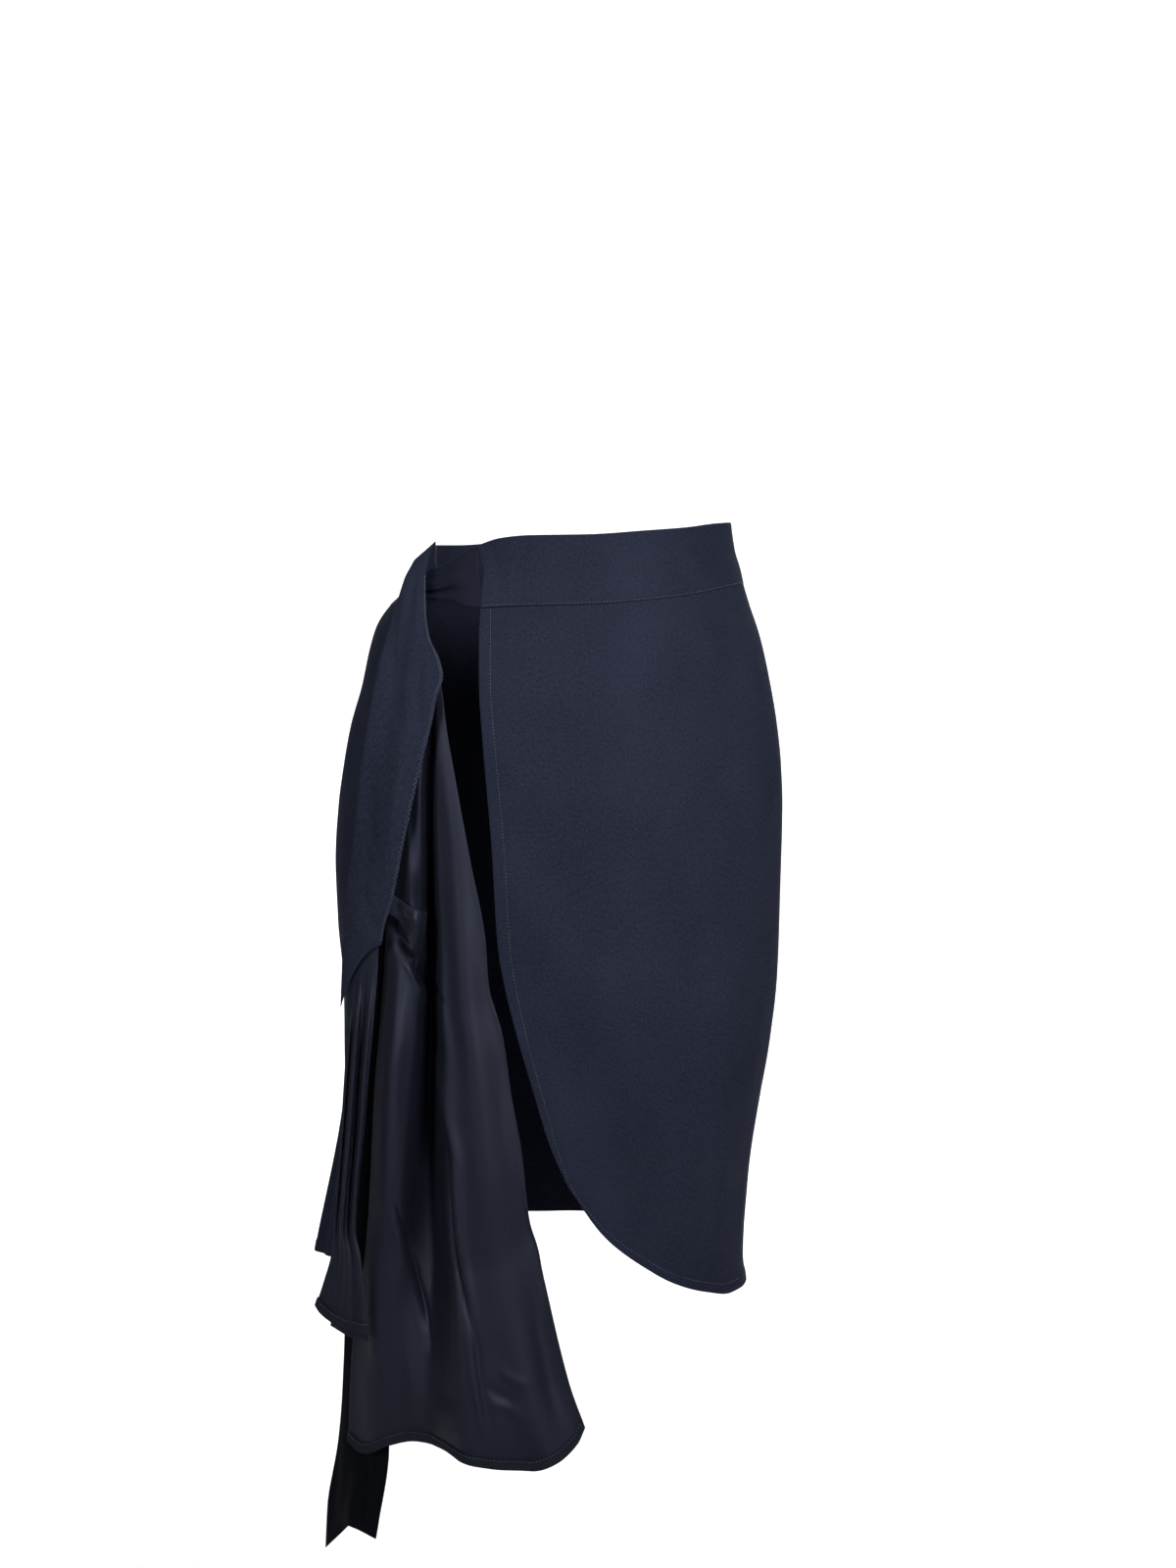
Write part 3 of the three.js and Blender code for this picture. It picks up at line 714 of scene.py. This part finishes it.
def sashRipple(u, v):
    edge = sash["edgeLift"] * np.exp(-((u / 0.16) ** 2)) * smooth(v, 0.4, 0.55) * (1 - smooth(v, 0.74, 0.86))
    return rippleOf(sash, 5)(u, v) + edge


sashCloth = creased(sashSurface, sashCreases, sashRipple)
sashPiece = clothWall("sash_cloth", sashCloth, sash, (44, 300), crepe)


def acrossSash(x, along):
    left = readCurve(sashLines, "along", "leftX", along)
    right = readCurve(sashLines, "along", "rightX", along)
    return np.clip((x - left) / (right - left), 0, 1)


def sashDepth(x, height):
    high = np.full(np.shape(x), 4.0)
    low = np.full(np.shape(x), float(sashLines["along"][-1]))
    for _ in range(30):
        middle = (high + low) / 2
        left = readCurve(sashLines, "along", "leftZ", middle)
        right = readCurve(sashLines, "along", "rightZ", middle)
        above = lerp(left, right, acrossSash(x, middle)) > height
        high, low = np.where(above, middle, high), np.where(above, low, middle)
    return strap(sashLines, acrossSash(x, high), high)[..., 1]


# Tie
tieLines = table("across topX topY top bottomX bottomY bottom swell", [
    [0, -82.4, -62.6, 2.4, -79.2, -78.6, -44.8, 0],
    [0.2, -94, -58, -3, -90, -75, -43.9, 1.5],
    [0.45, -104, -52.5, -9.5, -102, -65, -39.8, 3],
    [0.72, -114, -47.5, -14.5, -112.3, -56, -39.2, 3],
    [1, -124.4, -43.8, -17.5, -124, -47.5, -38.5, 0],
])
tieFolds = table(foldColumns, [
    [0.1, 0.4, 0.35, 0.5, 0.16, 2.2],
    [0.1, 0.5, 0.7, 0.8, 0.12, -2.4],
    [0.15, 0.6, 0.22, 0.3, 0.06, -1.4],
    [0.05, 0.7, 0.56, 0.66, 0.05, 1.2],
    [0.2, 0.8, 0.86, 0.92, 0.05, 1.0],
])
tie = {"width": 50, "length": 46, "thickness": 1.8}


def tieSurface(u, v):
    across = 1 - u
    value = [readCurve(tieLines, "across", name, across) for name in tieLines if name != "across"]
    top, bottom = stack(*value[0:3]), stack(*value[3:6])
    point = top + (bottom - top) * v[..., None]
    point[..., 1] -= value[6] * 4 * v * (1 - v) * 0.5 + foldOut(tieFolds, v, across)
    return point


tiePiece = clothWall("tie_cloth", tieSurface, tie, (60, 60), dullSatin,
                     tie["thickness"])

# Tail
tail = {"notchAcross": 0.53, "notchRise": 16, "notchFrom": 11, "width": 46, "length": 770}
tailCreases = table(creaseColumns, [
    [-172, -700, -184, -775, 2, 5.0, 2.2],
    [-166, -700, -172, -752, 1, 2.0, -1.6],
    [-190, -640, -198, -770, 0, 4.0, -1.4],
    [-160, -600, -164, -740, 2, 4.0, 1.2],
])


def tailSurface(u, v):
    along = v * tailLines["along"][-1]
    point = strap(tailLines, u, along)
    notch = 1 - np.abs(u - tail["notchAcross"]) / tail["notchAcross"]
    share = np.clip((along - tail["notchFrom"]) / (tailLines["along"][-1] - tail["notchFrom"]), 0, 1)
    point[..., 2] += tail["notchRise"] * np.maximum(0, notch) * share ** 2
    return point


tailPiece = clothWall("tail_cloth", creased(tailSurface, tailCreases), tail, (36, 260), shadedTailSatin)
print("sash, tie and tail made")


# The hanging satin: outlines by height, then folds
def hangingPatch(top, bottomRows, leftRows, rightRows):
    def side(rows, start):
        def edge(t):
            height = lerp(start, rows["height"][0], t)
            return readCurve(rows, "height", "x", height), height
        return edge

    def bottom(t):
        x = lerp(bottomRows["x"][0], bottomRows["x"][-1], t)
        return x, readCurve(bottomRows, "x", "height", x)

    startLeft, startRight = top(np.float64(0))[1], top(np.float64(1))[1]
    return patch(top, bottom, side(leftRows, startLeft), side(rightRows, startRight))


layers = {"drape": 12, "seat": 2.1, "flounce": 27, "underTop": 20.2, "underFoot": 18}


def hangFromSash(x, height, out, seated):
    point = onHang(x, height, out)
    seat = sashDepth(x, height) + layers["seat"]
    point[..., 1] = lerp(point[..., 1], seat, seated)
    return point


# Drape
drape = {"topHeight": -66, "topLeft": -141, "topRight": -125, "width": 150, "length": 630, "hem": 8.5,
         "ripple": 0.35}
drapeLeft = table("height x", [
    [-690, -184],
    [-633, -181.5],
    [-604, -179],
    [-542, -169],
    [-478, -164],
    [-413, -161],
    [-343, -155],
    [-286, -152],
    [-205, -151.5],
    [-132, -150],
    [-95, -147],
    [-66, -141],
])
drapeRight = table("height x", [
    [-664.5, 0],
    [-634, -11],
    [-604, -19],
    [-574, -26],
    [-544, -33],
    [-530, -35.5],
    [-507, -42],
    [-456, -47.5],
    [-411, -55.5],
    [-366, -62],
    [-327, -72.5],
    [-293, -75],
    [-235, -86],
    [-176, -97],
    [-132, -105],
    [-103, -108.5],
    [-84, -115],
    [-66, -125],
])
drapeHemLine = table("x height", [
    [-184, -690],
    [-173, -696],
    [-150, -685],
    [-128, -678.5],
    [-108, -680],
    [-92, -687],
    [-60, -693],
    [-40, -694],
    [-22, -688.5],
    [-6, -676.5],
    [0, -664.5],
])
drapeFolds = table(foldColumns, [
    [0.38, 0.52, 0.14, 0.1, 0.11, 11],
    [0.6, 0.88, 0.12, 0.1, 0.13, -7],
    [0.16, 0.5, 0.44, 0.38, 0.085, -12],
    [0.72, 1.0, 0.42, 0.38, 0.1, 8],
    [0.3, 0.5, 0.56, 0.52, 0.06, 4],
    [0.2, 0.6, 0.8, 0.58, 0.17, 7],
    [0.12, 0.3, 0.28, 0.27, 0.06, 5],
    [0.3, 0.45, 0.28, 0.27, 0.06, -5],
    [0.3, 0.8, 1.0, 0.99, 0.09, -9],
    [0.7, 1, 0.06, 0.03, 0.09, -5],
    [0.72, 1, 0.8, 0.86, 0.08, 6],
])
foldLineColumns = "height x width out"
deepValley = table(foldLineColumns, [
    [-665, -116, 22, 0],
    [-620, -118, 20, -4],
    [-576, -121, 17, -10],
    [-517, -123, 13, -19],
    [-458, -122, 10.5, -25],
    [-399, -119.8, 8.6, -27],
    [-350, -117.6, 6.4, -27],
    [-300, -117, 5.4, -26],
    [-250, -117.6, 4.6, -23],
    [-177, -118.4, 4.2, -17],
    [-120, -117, 3.6, -8],
    [-90, -117, 3.6, 0],
])
sashSideRidge = table(foldLineColumns, [
    [-262, -127, 5, 0],
    [-240, -127.5, 5.5, 5],
    [-190, -126.5, 5, 5],
    [-140, -122, 4, 3],
    [-100, -121, 3, 0],
])
leftRidge = table(foldLineColumns, [
    [-540, -150, 12, 0],
    [-458, -149, 12, 5],
    [-400, -146, 12, 6],
    [-360, -142, 11, 5],
    [-325, -141, 8, 4],
    [-290, -148, 4, 0],
])
rightRidge = table(foldLineColumns, [
    [-600, -66, 16, 0],
    [-520, -70, 14, 3],
    [-458, -74, 12, 5],
    [-400, -80, 11, 5],
    [-330, -90, 11, 5],
    [-230, -97, 9, 4],
    [-176, -104, 8, 3],
    [-120, -112, 6, 0],
])
leftFall = table(foldLineColumns, [
    [-700, -186, 34, -2.5],
    [-620, -184, 30, -3],
    [-540, -178, 17, -2],
    [-480, -170, 10, 0],
])
lowerSwell = table(foldLineColumns, [
    [-700, -88, 40, 5],
    [-650, -90, 38, 11],
    [-600, -92, 34, 8],
    [-540, -94, 30, 0],
])
drapeCreases = table(creaseColumns, [
    [-148, -262, -142, -300, 1, 4.0, -2.5],
    [-144, -290, -123, -334, -3, 3.6, -8],
    [-141, -306, -122, -350, -3, 2.2, 2.5],
    [-147, -486, -117, -612, -3, 2.0, -3.4],
    [-153, -490, -124, -610, -3, 3.6, 1.8],
    [-104, -440, -85, -590, 5, 1.9, -3.4],
    [-98, -440, -80, -590, 5, 3.4, 1.8],
    [-96, -440, -90, -560, 3, 5.0, 2.6],
    [-89, -570, -76, -665, 2, 3.4, 2.2],
    [-84, -580, -70, -668, 2, 3.6, -1.6],
    [-112, -380, -92, -470, 3, 4.0, 2.0],
    [-76, -626, -52, -642, 2, 4.0, -1.2],
    [-66, -616, -40, -630, 2, 4.6, 1.0],
    [-72, -640, -44, -656, -2, 5.0, 1.1],
    [-118, -332, -106, -342, 0, 2.2, -1.6],
    [-160, -520, -158, -640, 2, 6.0, 2.4],
    [-140, -560, -142, -670, 1, 7.0, -2.4],
    [-60, -400, -36, -520, 3, 5.0, 2.0],
    [-46, -500, -28, -580, -2, 4.0, -2.0],
    [-104, -640, -108, -685, 0, 8.0, 2.6],
    [-40, -560, -20, -660, 0, 7.0, -2.4],
])


def drapeTopEdge(t):
    return lerp(drape["topLeft"], drape["topRight"], t), drape["topHeight"] + 0 * t


drapePatch = hangingPatch(drapeTopEdge, drapeHemLine, drapeLeft, drapeRight)


def foldLine(line, x, height, steep=2):
    centre, width, out = [readCurve(line, "height", name, height) for name in ("x", "width", "out")]
    return out * np.exp(-(np.abs((x - centre) / width) ** steep))


def drapeSurface(u, v):
    x, height = drapePatch(u, v)
    seated = 1 - smooth(v, 0.01, 0.12)
    lines = foldLine(deepValley, x, height, 3.4)
    for line in (sashSideRidge, leftRidge, rightRidge, leftFall, lowerSwell):
        lines = lines + foldLine(line, x, height)
    return hangFromSash(x, height, layers["drape"] + foldOut(drapeFolds, u, v) + lines, seated)


def drapeRipple(u, v):
    return rippleOf(drape, 31)(u, v) * smooth(v, 0.3, 0.6)


drapeCloth = creased(drapeSurface, drapeCreases, drapeRipple)
drapePiece = clothWall("drape_cloth", drapeCloth, drape, (150, 300), satin,
                       even=True)


hemLift = 1.35  # from the cloth's middle to the band's middle


def hemBand(name, surface, piece, width, columns):
    depth, length = piece["hem"], piece["length"]

    def strip(u, v):
        return surface(u, lerp(1 - depth / length, 1.0, v))

    def swell(u, v):
        return 0.15 * np.sin(math.pi * v) + 0.1 * np.sin(u * width / 1.7) * (1 - v)

    return clothWall(name, moved(strip, hemLift), {"width": width, "length": depth}, (columns, 12), hemSatin,
                     hemThickness, swell, even=True)


drapeHem = hemBand("drape_hem_cloth", drapeCloth, drape, 190, 150)

# Turned-out loop beside the sash
loopRows = table("down leftX left rightX right rightOut swell bow", [
    [0, -151, -257, -119.5, -273, 10, 4, -1.5],
    [0.3, -151, -262, -120.5, -284, 12, 6, 0],
    [0.65, -150, -268, -123, -297, 10, 5, 4],
    [1, -151, -274, -127, -310, 5, 2, 8],
])
loop = {"width": 34, "length": 36, "hollow": 6, "crown": 3.5, "turned": 7}


def loopSurface(u, v):
    row = {name: readCurve(loopRows, "down", name, v) for name in loopRows if name != "down"}
    x = lerp(row["leftX"], row["rightX"], u)
    height = lerp(row["left"], row["right"], u) + row["bow"] * 4 * u * (1 - u)
    point = onHang(x, height, layers["drape"] + row["rightOut"])
    free = onHang(row["rightX"], row["right"], layers["drape"] + row["rightOut"])[..., 1]
    clear = smooth(u, 0.24, 0.9)
    point[..., 1] = lerp(sashDepth(x, height) + layers["seat"], free, clear)
    hollow = loop["hollow"] * np.exp(-(((u - 0.5) / 0.14) ** 2)) * smooth(v, 0.1, 0.5)
    crown = loop["crown"] * np.exp(-(((u - 0.76) / 0.12) ** 2))
    turned = loop["turned"] * smooth(u, 0.82, 1.0) ** 2
    point[..., 1] -= row["swell"] * 4 * clear * (1 - clear) + crown - hollow - turned
    return point


loopPiece = clothWall("loop_cloth", loopSurface, loop, (60, 60), satin, even=True)

# Flounce
flounceTop = table("across x height", [
    [0, -182, -336],
    [0.35, -173, -312],
    [0.7, -165, -304],
    [1, -156.5, -296],
])
flounceLeft = table("height x", [
    [-582, -208],
    [-561, -201],
    [-539, -195],
    [-515, -193],
    [-480, -190],
    [-419, -185.5],
    [-367, -182.5],
    [-336, -182],
])
flounceRight = table("height x", [
    [-597, -164],
    [-567, -168],
    [-540, -171],
    [-518, -175],
    [-492, -173.5],
    [-439, -168],
    [-402, -165],
    [-371, -162],
    [-325, -158],
    [-296, -156.5],
])
flounceHemLine = table("x height", [
    [-208, -582],
    [-204, -587],
    [-194, -591.5],
    [-180, -596],
    [-164, -597],
])
flounceFolds = table(foldColumns, [
    [0.05, 0.3, 0.2, 0.1, 0.08, -4],
    [0.02, 0.2, 0.4, 0.36, 0.1, 4],
    [0.08, 0.35, 0.62, 0.7, 0.09, -5],
    [0.02, 0.25, 0.82, 0.9, 0.09, 4],
    [0.01, 0.2, 0.12, 0.06, 0.05, 1.0],
    [0.01, 0.12, 0.3, 0.27, 0.05, -1.2],
    [0.01, 0.25, 0.52, 0.5, 0.04, -1.0],
    [0.01, 0.12, 0.72, 0.78, 0.045, 0.9],
])
flounce = {"width": 44, "length": 280, "thickness": 1.0, "hem": 8.5, "flatFoot": 0.75, "fan": 2.5}


def flounceTopEdge(t):
    return readCurve(flounceTop, "across", "x", t), readCurve(flounceTop, "across", "height", t)


flouncePatch = hangingPatch(flounceTopEdge, flounceHemLine, flounceLeft, flounceRight)


def flounceSurface(u, v):
    x, height = flouncePatch(u, v)
    seated = 1 - smooth(v, 0.01, 0.15)
    spent = 1 - flounce["flatFoot"] * smooth(v, 0.62, 0.85)  # the gathers run out towards the hem
    fan = flounce["fan"] * smooth(v, 0.7, 1) * np.sin(math.pi * u)
    return hangFromSash(x, height, layers["flounce"] + foldOut(flounceFolds, u, v) * spent + fan, seated)


def underSurface(u, v):
    x, height = flouncePatch(lerp(0.25, 0.95, u), lerp(0.5, 1, v))
    out = lerp(layers["underTop"], layers["underFoot"], smooth(v, 0, 0.35))
    return onHang(x, height - 8 * smooth(v, 0, 1), out)


flouncePiece = clothWall("flounce_cloth", flounceSurface, flounce, (110, 200),
                         satin, flounce["thickness"], even=True)
flounceHem = hemBand("flounce_hem_cloth", flounceSurface, flounce, 48, 80)
underPiece = clothWall("under_cloth", underSurface, {"width": 30, "length": 150}, (36, 90), satin)
print("drape, loop and flounce made")

# Stitches, as a Geometry Nodes row along a path on the cloth
stitch = {"pitch": 2.7, "length": 0.72, "thickness": 0.2, "jitter": 0.06, "seed": 4}
whisker = {"pitch": 1.7, "length": 1.2, "thickness": 0.075, "jitter": 1.1, "seed": 9}
zigzag = {"pitch": 2.0, "depth": 1.9, "radius": 0.2, "start": 0.30, "end": 0.985}
stitchLift = {"front": 0.45, "band": 1.0, "drape": 1.95, "flounce": 1.85}
seamInset, hemInset = 1.4, 1.2
socketKinds = {"Geometry": "Geometry", "Thread": "Material", "Seed": "Int"}


def startTree(name, inputs):
    tree = bpy.data.node_groups.new(name, "GeometryNodeTree")
    for socket in ("Geometry", *inputs, "Thread"):
        tree.interface.new_socket(name=socket, in_out="INPUT",
                                  socket_type="NodeSocket" + socketKinds.get(socket, "Float"))
    tree.interface.new_socket(name="Geometry", in_out="OUTPUT", socket_type="NodeSocketGeometry")
    given = tree.nodes.new("NodeGroupInput").outputs
    curve = addNode(tree, "GeometryNodeMeshToCurve", feeds={"Mesh": given["Geometry"]})
    return tree, given, curve.outputs["Curve"]


def endTree(tree, given, geometry, rounded):
    made = addNode(tree, "GeometryNodeRealizeInstances", feeds={"Geometry": geometry})
    if rounded:
        made = addNode(tree, "GeometryNodeSetShadeSmooth", feeds={"Geometry": made.outputs["Geometry"]})
    finish = addNode(tree, "GeometryNodeSetMaterial", feeds={
        "Geometry": made.outputs["Geometry"], "Material": given["Thread"]})
    addNode(tree, "NodeGroupOutput", feeds={"Geometry": finish.outputs["Geometry"]})
    return tree


def stitchRowTree():
    tree, given, curve = startTree("stitchRow", ("Pitch", "Length", "Thickness", "Jitter", "Seed"))
    steps = addNode(tree, "GeometryNodeResampleCurve", feeds={"Curve": curve, "Length": given["Pitch"]},
                    mode="LENGTH")
    bead = addNode(tree, "GeometryNodeMeshUVSphere", {"Segments": 8, "Rings": 5, "Radius": 1})
    tangent = addNode(tree, "GeometryNodeInputTangent")
    turn = addNode(tree, "FunctionNodeAlignRotationToVector", feeds={"Vector": tangent.outputs["Tangent"]},
                   axis="Z")
    stray = addNode(tree, "FunctionNodeRandomValue", {"Min": (-1, -1, -1), "Max": (1, 1, 1)},
                    {"Seed": given["Seed"]}, data_type="FLOAT_VECTOR")
    amount = addNode(tree, "ShaderNodeVectorMath", None,
                     {0: stray.outputs["Value"], "Scale": given["Jitter"]}, operation="SCALE")
    tilt = addNode(tree, "FunctionNodeEulerToRotation", feeds={"Euler": amount.outputs["Vector"]})
    rotated = addNode(tree, "FunctionNodeRotateRotation", feeds={
        "Rotation": turn.outputs["Rotation"], "Rotate By": tilt.outputs["Rotation"]})
    shape = addNode(tree, "ShaderNodeCombineXYZ", feeds={
        "X": given["Thickness"], "Y": given["Thickness"], "Z": given["Length"]})
    uneven = addNode(tree, "FunctionNodeRandomValue", {2: 0.85, 3: 1.12}, {"Seed": given["Seed"]},
                     data_type="FLOAT")
    sized = addNode(tree, "ShaderNodeVectorMath", None,
                    {0: shape.outputs["Vector"], "Scale": uneven.outputs[1]}, operation="SCALE")
    row = addNode(tree, "GeometryNodeInstanceOnPoints", feeds={
        "Points": steps.outputs["Curve"], "Instance": bead.outputs["Mesh"],
        "Rotation": rotated.outputs["Rotation"], "Scale": sized.outputs["Vector"]})
    return endTree(tree, given, row.outputs["Instances"], True)


def threadRunTree():
    tree, given, curve = startTree("threadRun", ("Radius",))
    ring = addNode(tree, "GeometryNodeCurvePrimitiveCircle", {"Resolution": 6}, {"Radius": given["Radius"]})
    tube = addNode(tree, "GeometryNodeCurveToMesh", {"Fill Caps": True},
                   {"Curve": curve, "Profile Curve": ring.outputs["Curve"]})
    return endTree(tree, given, tube.outputs["Mesh"], False)


stitchTree = stitchRowTree()
runTree = threadRunTree()


def alongPath(name, points, tree, values):
    mesh = bpy.data.meshes.new(name + "_path")
    steps = [(i, i + 1) for i in range(len(points) - 1)]
    mesh.from_pydata([tuple(point * mm) for point in points], steps, [])
    path = bpy.data.objects.new(name + "_path", mesh)
    bpy.context.scene.collection.objects.link(path)
    row = path.modifiers.new("row", "NODES")
    row.node_group = tree
    inputs = {item.name: item.identifier for item in tree.interface.items_tree if item.in_out == "INPUT"}
    for key, value in values.items():
        row[inputs[key]] = value
    bpy.context.view_layer.update()
    made = bpy.data.meshes.new_from_object(path.evaluated_get(bpy.context.evaluated_depsgraph_get()))
    made.name = name
    piece = bpy.data.objects.new(name, made)
    bpy.context.scene.collection.objects.link(piece)
    bpy.data.objects.remove(path)
    bpy.data.meshes.remove(mesh)
    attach(piece, "root")
    return piece


def stitchRow(name, surface, u, v, lift, look=stitch):
    u, v = np.broadcast_arrays(np.asarray(u, float), np.asarray(v, float))
    points = moved(surface, lift + look["thickness"] * 0.4)(u, v)
    return alongPath(name, points, stitchTree, {
        "Pitch": look["pitch"] * mm, "Length": look["length"] * mm, "Thickness": look["thickness"] * mm,
        "Jitter": look["jitter"], "Seed": look["seed"], "Thread": thread})


edgeDown = np.linspace(0.004, 1 - front["turnInHem"] / front["length"], 400)
edgeIn = front["turnIn"] / (front["width"] * lerp(1, front["footShare"], edgeDown))
frontStitches = stitchRow("front_edge_stitches", frontCloth, edgeIn, edgeDown, stitchLift["front"])
hemAlong = np.linspace(edgeIn[-1] + 0.004, 0.995, 300)
frontHemStitches = stitchRow("front_hem_stitches", frontCloth, hemAlong, edgeDown[-1], stitchLift["front"])
seamAlong = np.linspace(0.004, 0.996, 900)
seamStitches = stitchRow("band_seam_stitches", bandCloth, seamAlong, 1 - seamInset / band["width"],
                         stitchLift["band"])
drapeAlong = np.linspace(0.01, 0.99, 400)
drapeStitches = stitchRow("drape_hem_stitches", drapeCloth, drapeAlong,
                          1 - (drape["hem"] - hemInset) / drape["length"], stitchLift["drape"])
flounceStitches = stitchRow("flounce_hem_stitches", flounceSurface, drapeAlong,
                            1 - (flounce["hem"] - hemInset) / flounce["length"], stitchLift["flounce"])


def overlockRun():
    count = int((zigzag["end"] - zigzag["start"]) * sash["length"] / zigzag["pitch"] * 2)
    downs = np.linspace(zigzag["start"], zigzag["end"], count)
    side = np.arange(len(downs)) % 2
    inward = zigzag["depth"] * side / sash["width"]
    points = moved(sashCloth, 0.6 + zigzag["radius"] * 0.6)(1 - inward, downs)
    return alongPath("sash_overlock", points, runTree, {"Radius": zigzag["radius"] * mm, "Thread": thread})


sashOverlock = overlockRun()
whiskerDown = np.linspace(zigzag["start"], zigzag["end"], 600)
sashWhiskers = stitchRow("sash_whiskers", sashCloth, 0.9985, whiskerDown, 0.0, whisker)
print("stitches made")

# What stands for which solid, and the finish it takes
clothPieces = {
    "front_panel": (frontPanel, "crepe"),
    "back_panel": (backPanel, "crepe"),
    "waistband": (waistband, "crepe"),
    "tie": (tiePiece, "satin"),
    "sash": (sashPiece, "crepe"),
    "drape": (drapePiece, "satin"),
    "drape_hem": (drapeHem, "satin"),
    "drape_loop": (loopPiece, "satin"),
    "flounce": (flouncePiece, "satin"),
    "flounce_hem": (flounceHem, "satin"),
    "flounce_under": (underPiece, "satin"),
    "tail": (tailPiece, "tail_satin"),
}
for node, (piece, slot) in clothPieces.items():
    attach(piece, "root")
    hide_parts(node)

# Stage: a pale floor that curves up behind, soft lights and the camera
stage = {"floorHeight": -1.0, "halfWidth": 1.6, "near": -2.2, "wallY": 2.6, "wallTop": 3.2, "curve": 0.8}


def paleSweep():
    profile = [(stage["near"], stage["floorHeight"])]
    for step in range(13):
        turn = math.pi / 2 * step / 12
        profile.append((stage["wallY"] - stage["curve"] + stage["curve"] * math.sin(turn),
                        stage["floorHeight"] + stage["curve"] - stage["curve"] * math.cos(turn)))
    profile.append((stage["wallY"], stage["wallTop"]))
    points = [(side * stage["halfWidth"], y, z) for y, z in profile for side in (-1, 1)]
    faces = [(2 * i, 2 * i + 1, 2 * i + 3, 2 * i + 2) for i in range(len(profile) - 1)]
    mesh = bpy.data.meshes.new("sweep")
    mesh.from_pydata(points, [], faces)
    mesh.shade_smooth()
    material, _, shader = newMaterial("paleStage")
    shader.inputs["Base Color"].default_value = (0.92, 0.92, 0.93, 1)
    shader.inputs["Roughness"].default_value = 0.9
    mesh.materials.append(material)
    sweep = bpy.data.objects.new("sweep", mesh)
    bpy.context.scene.collection.objects.link(sweep)


def softLight(name, place, target, size, power, spread=110):
    light = bpy.data.lights.new(name, "AREA")
    light.shape = "RECTANGLE"
    light.size, light.size_y = size
    light.energy = power
    light.spread = math.radians(spread)
    lamp = bpy.data.objects.new(name, light)
    lamp.location = place
    lamp.rotation_euler = (Vector(target) - Vector(place)).to_track_quat("-Z", "Y").to_euler()
    bpy.context.scene.collection.objects.link(lamp)


paleSweep()
softLight("keyFront", (1.05, -2.45, 1.1), (0.05, 0, -0.09), (0.9, 0.9), 3.5, 36)
softLight("keyRight", (2.1, -1.7, 0.9), (0.05, 0, -0.05), (1.0, 1.3), 1.9, 56)
softLight("fillLeft", (-1.6, -2.05, 0.8), (-0.06, 0, -0.14), (0.8, 1.0), 1.3, 28)
softLight("overhead", (0, -0.9, 2.4), (0, 0, 0.0), (1.4, 1.0), 1.5, 80)
softLight("behind", (0.5, 2.2, 1.3), (0, 0, -0.2), (1.2, 1.2), 7, 70)
softLight("backdropLeft", (-1.5, 0.9, 1.6), (-0.5, 2.5, 0.1), (1.0, 1.4), 40, 130)
softLight("backdropRight", (1.5, 0.9, 1.6), (0.5, 2.5, 0.1), (1.0, 1.4), 40, 130)

world = bpy.data.worlds.new("softRoom")
world.use_nodes = True
room = world.node_tree
ambient = room.nodes["Background"]
ambient.inputs["Color"].default_value = (1, 1, 1, 1)
ambient.inputs["Strength"].default_value = 0.06
paper = addNode(room, "ShaderNodeBackground", {"Color": (0.93, 0.93, 0.94, 1)})  # seen past the sweep
seen = addNode(room, "ShaderNodeLightPath")
blend = addNode(room, "ShaderNodeMixShader", feeds={
    "Fac": seen.outputs["Is Camera Ray"], 1: ambient.outputs["Background"], 2: paper.outputs["Background"]})
room.links.new(blend.outputs["Shader"], room.nodes["World Output"].inputs["Surface"])
bpy.context.scene.world = world

camera = {"place": (0.002, -2.4, 0.0), "tilt": 4.4, "focal": 3117, "imageHeight": 1600}
lens = bpy.data.cameras.new("camera")
lens.sensor_fit = "VERTICAL"
lens.sensor_height = 36
lens.lens = camera["focal"] / camera["imageHeight"] * 36
view = bpy.data.objects.new("camera", lens)
view.location = camera["place"]
view.rotation_euler = (math.radians(90 - camera["tilt"]), 0, 0)
bpy.context.scene.collection.objects.link(view)
bpy.context.scene.camera = view
bpy.context.scene.view_settings.view_transform = "Standard"

print("stage and camera set")
